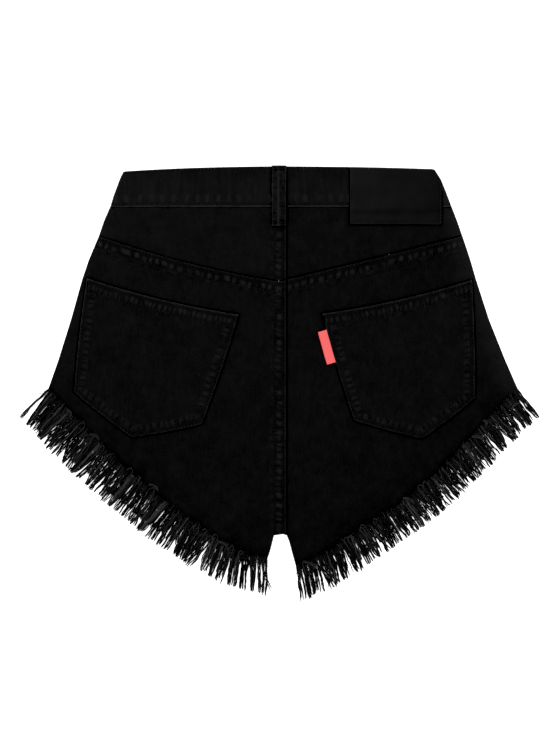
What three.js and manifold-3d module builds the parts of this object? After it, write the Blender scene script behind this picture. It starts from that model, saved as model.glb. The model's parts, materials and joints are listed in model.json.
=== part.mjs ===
// High-waisted denim shorts with frayed leg hems, laid out flat on their front.
// The wearer's back faces up. Millimetres: +X to the right seen from above, +Y towards
// the waist, +Z up. The origin is under the middle of the whole outline, on the surface
// that the shorts lie on, and x = 0 runs down the middle of the centre back seam.
//
// Two layers of cloth lie on each other. Every piece is a thin wall between two heights
// over its own cut outline, and all heights come from the same few functions, so a
// pocket or a patch is the panel under it moved out. Outlines of one half run from the
// centre or inside leg seam out to the side seam.
import * as THREE from "three";
import { mergeVertices } from "three/addons/utils/BufferGeometryUtils.js";
import Module from "manifold-3d";

const wasm = await Module();
wasm.setup();

// Thickness of what it is made of
const CLOTH = 1.1; // one layer of heavy black denim
const BAND = 2.2; // the waistband, cloth folded double
const LOOP = 1.4;
const LEATHER = 1.2;
const RIBBON = 1.0;
const GAP = 0.3; // between pieces at a seam, and between layers

// Flat-felled seams, from their folded edge to their second row of stitches
const FELL = { width: 13, height: 0.8, edge: 1.5 };
const POCKET_HEM = { width: 13, height: 0.7 };

// The outline, seen from above: how far each side reaches at each height
const SIDES = [
  { y: 204, left: -143, right: 145 },
  { y: 198, left: -147, right: 149 },
  { y: 190, left: -150.6, right: 154 },
  { y: 177.6, left: -155.3, right: 159 },
  { y: 164.4, left: -159.5, right: 164 },
  { y: 150, left: -165.8, right: 169.6 },
  { y: 136, left: -170.5, right: 174.5 },
  { y: 114, left: -180, right: 182 },
  { y: 95, left: -186.5, right: 187.6 },
  { y: 57, left: -197.1, right: 200 },
  { y: 19, left: -209, right: 215.2 },
  { y: -8, left: -218.5, right: 227 },
];

// The raw hems of the back, and the inside leg seams from them up to the crotch
const HEMS = {
  left: [
    { x: -10.5, y: -170 },
    { x: -42, y: -160 },
    { x: -92, y: -127 },
    { x: -141, y: -87 },
    { x: -184, y: -46 },
    { x: -218.5, y: -8 },
  ],
  right: [
    { x: 16.5, y: -177 },
    { x: 45, y: -163 },
    { x: 88, y: -135 },
    { x: 138, y: -100 },
    { x: 178, y: -60 },
    { x: 202, y: -34 },
    { x: 227, y: -8 },
  ],
};
const INSIDE_LEGS = {
  left: [
    { x: -7.6, y: -161 },
    { x: -4.3, y: -147.4 },
  ],
  right: [
    { x: 13, y: -164.4 },
    { x: 10, y: -153 },
    { x: 7.7, y: -147.4 },
  ],
};
const CROTCH_Y = -145.4;
const FRONT_HEM_RISE = 8; // the front is cut this much higher at the middle of each leg

// Waist and yoke
const BAND_TOP = { centre: 202, left: 197.6, right: 199.8 };
const BAND_BOTTOM = 163.4;
const FRONT_DIP = 13; // the waist is this much lower at the centre front
const YOKE = {
  point: 93.5,
  sideY: 136.5,
  left: { slope: 0.252, sag: 4.1 },
  right: { slope: 0.247, sag: 0.6 },
};
const SEAM_EDGE = 7.4; // the left half of the back laps over the right to here

// Front pocket openings: a scoop out of each front's upper outer corner
const SCOOP = { topX: 92, sideY: 78, setBack: 0.5 };

// Back patch pockets
const POCKETS = {
  left: {
    topInner: { x: -37.4, y: 62 },
    topOuter: { x: -181.4, y: 96.6 },
    lowOuter: { x: -194, y: -11.5 },
    tip: { x: -139, y: -54.6 },
    lowInner: { x: -72.4, y: -41.9 },
  },
  right: {
    topInner: { x: 41.2, y: 62.9 },
    topOuter: { x: 183.2, y: 95 },
    lowOuter: { x: 186, y: -17.4 },
    tip: { x: 136, y: -55.8 },
    lowInner: { x: 71.5, y: -38.2 },
  },
};
// How far the middle of each edge bows out. The top edge sags inwards.
const POCKET_BOWS = { top: -3.2, inner: 1.2, outer: 1.2, low: 0.9 };

// Trims
const BACK_LOOP = { x: 0.5, width: 14.2, bottom: 145.2, top: 202.7, slack: 0.7 };
const FRONT_LOOP = { x: 84, width: 12.5, bottom: 137, top: 194 };
const PATCH = { left: 67, right: 155.3, bottom: 146.4, margin: 0.6 };
const TAB = { width: 8, length: 32, drop: 15.8 };
const BUTTON = { radius: 8.5, cap: 2.15, dish: 0.35, y: 170 };

// How the layers lie
const FRONT_LIFT = LOOP + GAP; // the waist stands on the front belt loops
const BAND_LIFT = (BAND - CLOTH) / 2; // the waistband is thicker, so it reaches further down
const PRESS = { height: 0.9, spread: 24 }; // and the button lifts it at the centre
const LOFT = 3.6; // how far the back stands off the front over the seat
const SIDE_LOFT = BAND - CLOTH; // and beside the waist, where the band folds
const SEAT_IN = 70; // the seat's loft is full this far in from the side
const SEAT_UP = 110; // and this far above the hem
const STEP = { from: 8, to: 1 }; // trims step down off the waistband below its edge

// Fringe: locks of unravelled yarn on a narrow strip along each hem. The tilts are the
// yarn's angles from straight down, in degrees, evenly from the inside leg to the side.
const STRIP = 3;
const CLUMP = 4; // locks that lean towards each other
const FRINGES = {
  back: {
    locks: 64,
    width: 2.4,
    lean: 0.85,
    left: { length: 37, tilts: [8, 34, 38, 40, 50] },
    right: { length: 29, tilts: [8, 32, 38, 40, 37] },
  },
  front: {
    locks: 36,
    width: 3,
    lean: 1.1,
    left: { length: 29, tilts: [8, 34, 38, 40, 48] },
    right: { length: 26, tilts: [8, 32, 38, 40, 36] },
  },
};

const BLACK_DENIM = { color: 0x0f0f10, roughness: 0.9, metalness: 0 };
const BLACK_LEATHER = { color: 0x121212, roughness: 0.6, metalness: 0 };
const CORAL_RIBBON = { color: 0xf06a6a, roughness: 0.75, metalness: 0 };
const DARK_METAL = { color: 0x55534f, roughness: 0.4, metalness: 1 };

const { lerp, clamp, smoothstep, degToRad } = THREE.MathUtils;
const SIGN = { left: -1, right: 1 };
const sideOf = (x) => (x < 0 ? "left" : "right");

// Values from 0 to 1, closer together towards 0 where the power is over 1
const steps = (count, power = 1) =>
  Array.from({ length: count + 1 }, (_, i) => (i / count) ** power);
const flipped = (values) => values.map((v) => 1 - v).reverse();

// Columns that neighbouring pieces share, so that their edges are cut alike
const BACK_COLUMNS = steps(14, 1.25);
const FRONT_COLUMNS = 12;
const SCOOP_COLUMNS = 7;

// Plan curves: functions of t from 0 to 1 that give {x, y}
function spline(rows) {
  const curve = new THREE.SplineCurve(rows.map(({ x, y }) => new THREE.Vector2(x, y)));
  return (t) => curve.getPointAt(clamp(t, 0, 1));
}

// Straight lines from point to point. It also knows at what t its corners are.
function straights(rows) {
  const path = new THREE.CurvePath();
  rows.slice(1).forEach((row, i) => {
    const from = new THREE.Vector2(rows[i].x, rows[i].y);
    path.add(new THREE.LineCurve(from, new THREE.Vector2(row.x, row.y)));
  });
  const line = (t) => path.getPointAt(clamp(t, 0, 1));
  line.corners = path.getCurveLengths().map((reach) => reach / path.getLength());
  return line;
}

function sideX(side, y) {
  const below = SIDES.findIndex((row) => row.y < y);
  const next = below < 0 ? SIDES.length - 1 : Math.max(1, below);
  const [a, b] = [SIDES[next - 1], SIDES[next]];
  return lerp(a[side], b[side], (a.y - y) / (a.y - b.y));
}

// The side outline of one half, from a low height to a high one
const sideLine = (side, low, high) => (t) => {
  const y = lerp(low, high, t);
  return { x: sideX(side, y), y };
};

// The yoke seam: a shallow V that sags a little between the centre and each side
function yokeY(x) {
  const { slope, sag } = YOKE[sideOf(x)];
  const along = clamp(x / sideX(sideOf(x), YOKE.sideY), 0, 1);
  return YOKE.point + slope * Math.abs(x) - sag * Math.sin(Math.PI * along);
}

// How far a place is below the yoke seam, square to it
const belowYoke = (x, y) => (yokeY(x) - y) * Math.cos(Math.atan(YOKE[sideOf(x)].slope));

const bandTop = (share) => lerp(BAND_TOP.centre, BAND_TOP[sideOf(share)], share ** 2);

// How far the front of the waist lies below the back, from the share of the half width
const dipAt = (share) => FRONT_DIP * Math.cos((clamp(share, -1, 1) * Math.PI) / 2) ** 2;

const frontBandBottom = (x) => BAND_BOTTOM - dipAt(x / sideX(sideOf(x), BAND_BOTTOM));

// A Coons patch between four plan curves, with u from left to right and v from bottom to top
function patch({ left, right, bottom, top }) {
  const corners = [bottom(0), bottom(1), top(0), top(1)];
  const blend = (axis, u, v) => {
    const ruled =
      lerp(bottom(u)[axis], top(u)[axis], v) + lerp(left(v)[axis], right(v)[axis], u);
    const low = lerp(corners[0][axis], corners[1][axis], u);
    const high = lerp(corners[2][axis], corners[3][axis], u);
    return ruled - lerp(low, high, v);
  };
  return (u, v) => ({ x: blend("x", u, v), y: blend("y", u, v) });
}

// The patch of one half, whose bottom and top run out from its inner edge to its outer edge
function halfPatch(side, { inner, outer, bottom, top }) {
  if (side === "right") return patch({ left: inner, right: outer, bottom, top });
  const back = (curve) => (t) => curve(1 - t);
  return patch({ left: outer, right: inner, bottom: back(bottom), top: back(top) });
}

const halfColumns = (side, values) => (side === "right" ? values : flipped(values));

// Underside of the front cloth: on the surface, lifted at the waist by the loops and button
function frontUnder(x, y) {
  const lift = FRONT_LIFT * smoothstep(y, 85, 140) + BAND_LIFT * smoothstep(y, 137, 150);
  const press = PRESS.height * Math.exp(-((x / PRESS.spread) ** 2)) * smoothstep(y, 95, 130);
  return lift + press;
}

// How far a place is from the raw hem, straight up the cloth
function aboveHem(x, y) {
  const rows = HEMS[sideOf(x)];
  const beyond = rows.findIndex((row) => Math.abs(row.x) > Math.abs(x));
  const next = beyond < 0 ? rows.length - 1 : Math.max(1, beyond);
  const [a, b] = [rows[next - 1], rows[next]];
  return y - lerp(a.y, b.y, clamp((x - a.x) / (b.x - a.x), 0, 1));
}

// How far the back lies off the front: next to nothing at the edges, the loft over the seat
function puff(x, y) {
  const inFromSide = Math.abs(sideX(sideOf(x), y)) - Math.abs(x);
  const seat = Math.sin((Math.PI / 2) * clamp(inFromSide / SEAT_IN, 0, 1));
  const leg = smoothstep(aboveHem(x, y), 0, SEAT_UP);
  return lerp(SIDE_LOFT * smoothstep(y, 40, 110), LOFT, seat * leg);
}

const backUnder = (x, y) => frontUnder(x, y) + CLOTH + GAP + puff(x, y);

// How much a felled seam raises the cloth, at a distance from its folded edge
const fellAt = (distance) =>
  distance < -GAP ? 0 : FELL.height * smoothstep(FELL.width - distance, -FELL.edge, 0);

const centreFell = (x) => fellAt(SEAM_EDGE - x);
const yokeFell = (x, y) => fellAt(belowYoke(x, y));

const yokeOver = (x, y) => backUnder(x, y) + CLOTH + centreFell(x);
const backOver = (x, y) => backUnder(x, y) + CLOTH + Math.max(centreFell(x), yokeFell(x, y));
const bandOver = (x, y) => backUnder(x, y) + (CLOTH + BAND) / 2;

// What carries the trims at the waist: the waistband, a short slope off it, and the yoke
function waistOver(x, y) {
  if (y > BAND_BOTTOM) return bandOver(x, y);
  const share = smoothstep(y, BAND_BOTTOM - STEP.from, BAND_BOTTOM - STEP.to);
  return lerp(yokeOver(x, y), bandOver(x, BAND_BOTTOM), share);
}

function mesh(name, positions, faces, finish) {
  const geometry = new THREE.BufferGeometry();
  geometry.setAttribute("position", new THREE.Float32BufferAttribute(positions, 3));
  geometry.setIndex(faces);
  geometry.computeVertexNormals();
  const made = new THREE.Mesh(geometry, new THREE.MeshStandardMaterial(finish));
  made.name = name;
  return made;
}

// A closed shell between two grids of points, each a list of rows that run to the right
// and follow each other upwards, seen from outside
function shell(name, inside, outside, finish) {
  const columns = inside[0].length;
  const rows = inside.length;
  const at = (i, j, layer) => (layer * rows + j) * columns + i;
  const faces = [];
  const quad = (a, b, c, d) => faces.push(a, b, c, a, c, d);
  for (let j = 0; j < rows - 1; j++)
    for (let i = 0; i < columns - 1; i++) {
      quad(at(i, j, 1), at(i + 1, j, 1), at(i + 1, j + 1, 1), at(i, j + 1, 1));
      quad(at(i, j, 0), at(i, j + 1, 0), at(i + 1, j + 1, 0), at(i + 1, j, 0));
    }
  const rim = [];
  for (let i = 0; i < columns - 1; i++) rim.push([i, 0]);
  for (let j = 0; j < rows - 1; j++) rim.push([columns - 1, j]);
  for (let i = columns - 1; i > 0; i--) rim.push([i, rows - 1]);
  for (let j = rows - 1; j > 0; j--) rim.push([0, j]);
  rim.forEach(([i, j], k) => {
    const [m, n] = rim[(k + 1) % rim.length];
    quad(at(i, j, 0), at(m, n, 0), at(m, n, 1), at(i, j, 1));
  });
  return mesh(name, [inside, outside].flat(3), faces, finish);
}

// A wall over a plan patch, between an under and an over height
function wall(name, plan, columns, rows, under, over, finish) {
  const grid = (height) =>
    rows.map((v) =>
      columns.map((u) => {
        const { x, y } = plan(u, v);
        return [x, y, height(x, y)];
      }),
    );
  return shell(name, grid(under), grid(over), finish);
}

const raised = (height, by) => (x, y) => height(x, y) + by;

// Rows that meet each corner of a panel's inner edge, then close up towards the top
function rowsAlong(inner, count, power) {
  const corners = inner.corners.slice(0, -1);
  const crotch = corners.at(-1);
  const above = flipped(steps(count, power)).slice(1);
  return [0, ...corners, ...above.map((v) => lerp(crotch, 1, v))];
}

// The back below the yoke, cut by its raw hem, inside leg, centre seam, yoke seam and side
function backPanel(side) {
  const seamX = side === "left" ? SEAM_EDGE : SEAM_EDGE + GAP;
  const seamEnd = sideX(side, YOKE.sideY);
  const top = (t) => {
    const x = lerp(seamX, seamEnd, t);
    return { x, y: yokeY(x) - GAP / 2 };
  };
  const crotch = side === "left" ? [{ x: seamX, y: CROTCH_Y }] : [];
  const inner = straights([HEMS[side][0], ...INSIDE_LEGS[side], ...crotch, top(0)]);
  const outer = sideLine(side, HEMS[side].at(-1).y, top(1).y);
  const plan = halfPatch(side, { inner, outer, bottom: spline(HEMS[side]), top });
  const columns = halfColumns(side, BACK_COLUMNS);
  const rows = rowsAlong(inner, 14, 1.35);
  return wall("back_panel_" + side, plan, columns, rows, backUnder, backOver, BLACK_DENIM);
}

function yoke(side) {
  const seamX = side === "left" ? SEAM_EDGE : SEAM_EDGE + GAP;
  const seamEnd = sideX(side, YOKE.sideY);
  const topY = BAND_BOTTOM - GAP;
  const bottom = (t) => {
    const x = lerp(seamX, seamEnd, t);
    return { x, y: yokeY(x) + GAP / 2 };
  };
  const top = (t) => ({ x: lerp(seamX, sideX(side, topY), t), y: topY });
  const inner = straights([bottom(0), top(0)]);
  const outer = sideLine(side, bottom(1).y, topY);
  const plan = halfPatch(side, { inner, outer, bottom, top });
  const columns = halfColumns(side, steps(13, 1.3));
  return wall("yoke_" + side, plan, columns, steps(6), backUnder, yokeOver, BLACK_DENIM);
}

// The scoop of a front pocket, from the waistband out and down to the side seam. It stands
// away from the curve by a gap along its own normal.
function scoop(side, away = 0) {
  const top = { x: SIGN[side] * SCOOP.topX, y: frontBandBottom(SIGN[side] * SCOOP.topX) - GAP };
  const end = { x: sideX(side, SCOOP.sideY), y: SCOOP.sideY };
  return (t) => {
    const [cos, sin] = [Math.cos((t * Math.PI) / 2), Math.sin((t * Math.PI) / 2)];
    return {
      x: lerp(end.x, top.x, cos) + SIGN[side] * away * cos,
      y: lerp(top.y, end.y, sin) + away * sin,
    };
  };
}

// The front's waist edge from one x to another
const frontWaist = (from, to) => (t) => {
  const x = lerp(from, to, t);
  return { x, y: frontBandBottom(x) - GAP };
};

function frontHem(side) {
  const backHem = spline(HEMS[side]);
  return (t) => {
    const { x, y } = backHem(t);
    return { x, y: y + FRONT_HEM_RISE * Math.sin(Math.PI * t) };
  };
}

// A front, cut by its raw hem, inside leg, centre front, waist, pocket scoop and side
function frontPanel(side) {
  const seamX = side === "left" ? 0 : GAP;
  const waistShare = 1 - SCOOP_COLUMNS / FRONT_COLUMNS;
  const waist = frontWaist(seamX, SIGN[side] * SCOOP.topX);
  const opening = scoop(side);
  const top = (t) =>
    t < waistShare ? waist(t / waistShare) : opening((t - waistShare) / (1 - waistShare));
  const crotch = { x: seamX, y: CROTCH_Y };
  const inner = straights([HEMS[side][0], ...INSIDE_LEGS[side], crotch, waist(0)]);
  const outer = sideLine(side, HEMS[side].at(-1).y, SCOOP.sideY);
  const plan = halfPatch(side, { inner, outer, bottom: frontHem(side), top });
  const columns = halfColumns(side, steps(FRONT_COLUMNS));
  const rows = rowsAlong(inner, 11, 1);
  const over = raised(frontUnder, CLOTH);
  return wall("front_panel_" + side, plan, columns, rows, frontUnder, over, BLACK_DENIM);
}

// The pocket facing that shows inside the scoop, set back from the front's own cloth
function facing(side) {
  const bottom = scoop(side, GAP);
  const cornerX = sideX(side, BAND_BOTTOM - GAP);
  const top = frontWaist(bottom(0).x, cornerX);
  const inner = straights([bottom(0), top(0)]);
  const outer = sideLine(side, bottom(1).y, top(1).y);
  const plan = halfPatch(side, { inner, outer, bottom, top });
  const columns = halfColumns(side, steps(SCOOP_COLUMNS));
  const under = raised(frontUnder, SCOOP.setBack);
  const over = raised(under, CLOTH);
  return wall("pocket_facing_" + side, plan, columns, steps(4), under, over, BLACK_DENIM);
}

// The waistband: one strip of cloth, seen from outside and followed to the right. It runs
// from its under end at the centre front round the left side, across the back, round the
// right side and on to its over end, which lies outermost and covers the under end.
function waistband() {
  const overlap = 0.14;
  const fold = 0.985; // share of the half width where each side fold starts
  const turns = [0.25, 0.5, 0.75];
  const stations = [];
  const flat = (from, to, count, back) => {
    for (const t of steps(count)) stations.push({ share: lerp(from, to, t), back, turn: 0 });
  };
  flat(overlap, -fold, 11, 0);
  for (const turn of turns) stations.push({ share: -1, back: turn, turn });
  flat(-fold, fold, 16, 1);
  for (const turn of turns) stations.push({ share: 1, back: 1 - turn, turn });
  flat(fold, -overlap, 10, 0);
  const underEnd = (i, share) => (i < 12 ? (BAND + GAP) * smoothstep(share, -0.42, -0.17) : 0);

  const rows = [0, 0.06, 0.35, 0.65, 0.94, 1];
  const spine = rows.map((up) =>
    stations.map(({ share, back, turn }, i) => {
      const level = lerp(BAND_BOTTOM, bandTop(share), up);
      const bulge = turn ? BAND / 2 + 1.3 * (1 - Math.sin(Math.PI * turn)) : 0;
      const x = share * Math.abs(sideX(sideOf(share), level)) - Math.sign(share) * bulge;
      const y = level - dipAt(share) * (1 - back);
      const z = lerp(frontUnder(x, y), backUnder(x, y), back) + CLOTH / 2 + underEnd(i, share);
      return { x, y, z };
    }),
  );
  const side = (sign) =>
    spine.map((row) =>
      row.map(({ x, y, z }, i) => {
        const before = row[Math.max(0, i - 1)];
        const after = row[Math.min(row.length - 1, i + 1)];
        const out = new THREE.Vector2(before.z - after.z, after.x - before.x);
        out.setLength((sign * BAND) / 2);
        return [x + out.x, y, z + out.y];
      }),
    );
  return shell("waistband", side(-1), side(1), BLACK_DENIM);
}

// An edge of a back pocket from one corner to another, bowed away from its middle
function pocketEdge(side, from, to, bow) {
  const [a, b, tip] = [POCKETS[side][from], POCKETS[side][to], POCKETS[side].tip];
  const out = new THREE.Vector2(b.y - a.y, a.x - b.x).normalize();
  const middle = { x: tip.x, y: (tip.y + POCKETS[side].topInner.y) / 2 };
  if (out.x * (a.x - middle.x) + out.y * (a.y - middle.y) < 0) out.negate();
  return (t) => {
    const by = 4 * bow * t * (1 - t);
    return { x: lerp(a.x, b.x, t) + out.x * by, y: lerp(a.y, b.y, t) + out.y * by };
  };
}

// A back pocket on its panel, thicker along its hemmed top edge
function pocket(side) {
  const { topInner, topOuter } = POCKETS[side];
  const { low } = POCKET_BOWS;
  const top = pocketEdge(side, "topInner", "topOuter", POCKET_BOWS.top);
  const bottom = [
    pocketEdge(side, "lowInner", "tip", low),
    pocketEdge(side, "tip", "lowOuter", low),
  ];
  const plan = halfPatch(side, {
    inner: pocketEdge(side, "lowInner", "topInner", POCKET_BOWS.inner),
    outer: pocketEdge(side, "lowOuter", "topOuter", POCKET_BOWS.outer),
    bottom: (t) => (t < 0.5 ? bottom[0](2 * t) : bottom[1](2 * t - 1)),
    top,
  });
  const reach = topOuter.x - topInner.x;
  const square = Math.cos(Math.atan((topOuter.y - topInner.y) / reach));
  const belowTop = (x, y) => (top(clamp((x - topInner.x) / reach, 0, 1)).y - y) * square;
  const { width, height } = POCKET_HEM;
  const hem = (x, y) => height * smoothstep(width - belowTop(x, y), -FELL.edge, 0);
  const under = raised(backOver, GAP);
  const over = (x, y) => under(x, y) + CLOTH + hem(x, y);
  const rows = [0, 0.14, 0.3, 0.46, 0.62, 0.78, 0.88, 0.92, 1];
  return wall("back_pocket_" + side, plan, steps(10), rows, under, over, BLACK_DENIM);
}

// A belt loop across the waistband, as wide as its folded tape
function beltLoop(name, { x: centre, width, top, bottom }, under) {
  const plan = (u, v) => ({ x: centre + (u - 0.5) * width, y: lerp(bottom, top, v) });
  return wall(name, plan, [0, 1], steps(12), under, raised(under, LOOP), BLACK_DENIM);
}

// The back loop lies level over the centre seam and stands clear of the band for a belt
function backLoopUnder(x, y) {
  const share = (y - BACK_LOOP.bottom) / (BACK_LOOP.top - BACK_LOOP.bottom);
  return waistOver(0, y) + GAP + BACK_LOOP.slack * Math.sin(Math.PI * share) ** 2;
}

// The label patch over the waistband and yoke, cut off by the side fold at its top corner
function labelPatch() {
  const plan = (u, v) => {
    const share = lerp(PATCH.left, PATCH.right, u) / sideX("right", BAND_TOP.right);
    const y = lerp(PATCH.bottom, bandTop(share) - PATCH.margin, v);
    const right = Math.min(PATCH.right, sideX("right", y) - PATCH.margin);
    return { x: lerp(PATCH.left, right, u), y };
  };
  const under = raised(waistOver, GAP);
  const over = raised(under, LEATHER);
  return wall("label_patch", plan, steps(7), steps(11), under, over, BLACK_LEATHER);
}

// The ribbon tab caught in the right pocket's inner edge
function tab() {
  const { topInner, lowInner } = POCKETS.right;
  const edge = pocketEdge("right", "topInner", "lowInner", POCKET_BOWS.inner);
  const down = new THREE.Vector2(lowInner.x - topInner.x, lowInner.y - topInner.y);
  const reach = down.length();
  down.normalize();
  const out = { x: down.y, y: -down.x };
  const plan = (u, v) => {
    const { x, y } = edge((TAB.drop + TAB.length * (1 - v)) / reach);
    const away = GAP + TAB.width * (1 - u);
    return { x: x + out.x * away, y: y + out.y * away };
  };
  const under = raised(backOver, GAP);
  const over = raised(under, RIBBON);
  return wall("ribbon_tab", plan, steps(2), steps(4), under, over, CORAL_RIBBON);
}

// A button's cap on the waistband's over end, face down, with a dished middle
function button() {
  const { radius, cap, dish, y } = BUTTON;
  const profile = [
    { r: 0, z: dish },
    { r: radius * 0.62, z: dish },
    { r: radius * 0.7, z: 0 },
    { r: radius * 0.88, z: 0 },
    { r: radius, z: cap * 0.3 },
    { r: radius, z: cap * 0.8 },
    { r: radius * 0.9, z: cap },
    { r: 0, z: cap },
  ].map(({ r, z }) => new THREE.Vector2(r, z));
  const geometry = new THREE.LatheGeometry(profile, 24);
  geometry.rotateX(Math.PI / 2);
  const made = new THREE.Mesh(geometry, new THREE.MeshStandardMaterial(DARK_METAL));
  made.name = "button";
  made.position.y = y;
  return made;
}

function solidOf(geometry) {
  const bare = geometry.clone();
  bare.deleteAttribute("normal");
  bare.deleteAttribute("uv");
  const merged = mergeVertices(bare, 1e-3);
  const data = {
    numProp: 3,
    vertProperties: merged.attributes.position.array,
    triVerts: new Uint32Array(merged.index.array),
  };
  return new wasm.Manifold(new wasm.Mesh(data));
}

// One lock of yarn: a four-sided taper from inside the strip to its tip near the surface
function lock({ root, direction, length, width, lean, heights }) {
  const side = { x: direction.y, y: -direction.x };
  const stages = [
    { along: -STRIP / 2, half: width * 0.5, thick: 0.42, z: heights.root },
    { along: length * 0.6, half: width * 0.46, thick: 0.4, z: heights.middle },
    { along: length, half: width * 0.14, thick: 0.22, z: heights.tip },
  ];
  const positions = stages.flatMap(({ along, half, thick, z }) => {
    const drift = lean * Math.max(0, along / length) ** 1.4;
    const ring = [[-half, 0], [0, -thick], [half, 0], [0, thick]];
    return ring.flatMap(([across, up]) => [
      root.x + direction.x * along + side.x * (drift + across),
      root.y + direction.y * along + side.y * (drift + across),
      z + up,
    ]);
  });
  const faces = [0, 1, 2, 0, 2, 3, 8, 10, 9, 8, 11, 10];
  for (const ring of [0, 4])
    for (let k = 0; k < 4; k++) {
      const [a, b] = [ring + k, ring + ((k + 1) % 4)];
      faces.push(a, b + 4, b, a, a + 4, b + 4);
    }
  return solidOf(mesh("lock", positions, faces, BLACK_DENIM).geometry);
}

// Lengths vary in quick and slow waves along the hem
const unevenness = (i, seed) => (Math.sin(1.7 * i + seed) + Math.sin(0.61 * i + 2 * seed)) / 2;

function fringe(layer, side) {
  const { locks, width, lean } = FRINGES[layer];
  const { length, tilts } = FRINGES[layer][side];
  const isBack = layer === "back";
  const hem = isBack ? spline(HEMS[side]) : frontHem(side);
  const under = isBack ? backUnder : frontUnder;
  const directionAt = (t) => {
    const i = Math.min(tilts.length - 2, Math.floor(t * (tilts.length - 1)));
    const tilt = degToRad(lerp(tilts[i], tilts[i + 1], t * (tilts.length - 1) - i));
    return { x: SIGN[side] * Math.sin(tilt), y: -Math.cos(tilt) };
  };
  const beyondHem = (t, by) => {
    const [p, d] = [hem(t), directionAt(t)];
    return { x: p.x + d.x * by, y: p.y + d.y * by };
  };
  const alongHem = side === "left" ? (u) => 1 - u : (u) => u;
  const plan = (u, v) => beyondHem(alongHem(u), GAP + STRIP * (1 - v));
  const columns = halfColumns(side, isBack ? BACK_COLUMNS : steps(FRONT_COLUMNS));
  const strip = wall("strip", plan, columns, [0, 1], under, raised(under, CLOTH), BLACK_DENIM);
  let body = solidOf(strip.geometry);
  for (let i = 0; i < locks; i++) {
    const t = lerp(0.012, 0.988, i / (locks - 1));
    const root = beyondHem(t, GAP + STRIP);
    const z = under(hem(t).x, hem(t).y) + CLOTH / 2;
    const one = lock({
      root,
      direction: directionAt(t),
      length: (length - STRIP) * (1 + 0.13 * unevenness(i, SIGN[side])),
      width,
      lean: SIGN[side] * lean * ((i % CLUMP) - (CLUMP - 1) / 2),
      heights: isBack ? { root: z, middle: z - 0.15, tip: 0.95 } : { root: z, middle: 0.5, tip: 0.42 },
    });
    body = body.add(one);
  }
  const { vertProperties, triVerts } = body.getMesh();
  const name = "fringe_" + layer + "_" + side;
  return mesh(name, Array.from(vertProperties), Array.from(triVerts), BLACK_DENIM);
}

const shorts = new THREE.Group();
for (const side of ["left", "right"]) {
  shorts.add(backPanel(side));
  shorts.add(yoke(side));
  shorts.add(pocket(side));
  shorts.add(frontPanel(side));
  shorts.add(facing(side));
  const loop = { ...FRONT_LOOP, x: SIGN[side] * FRONT_LOOP.x };
  shorts.add(beltLoop("belt_loop_front_" + side, loop, () => 0));
  shorts.add(fringe("back", side));
  shorts.add(fringe("front", side));
}
shorts.add(waistband());
shorts.add(beltLoop("belt_loop_back", BACK_LOOP, backLoopUnder));
shorts.add(labelPatch());
shorts.add(tab());
shorts.add(button());

export default shorts;
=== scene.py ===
"""High-waisted black denim shorts with frayed hems, laid out flat on their front.

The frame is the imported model's: +X to the right seen from above, +Y towards the waist and
+Z up out of the back of the shorts. Every size is in millimetres until a mesh is finished.
"""

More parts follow.
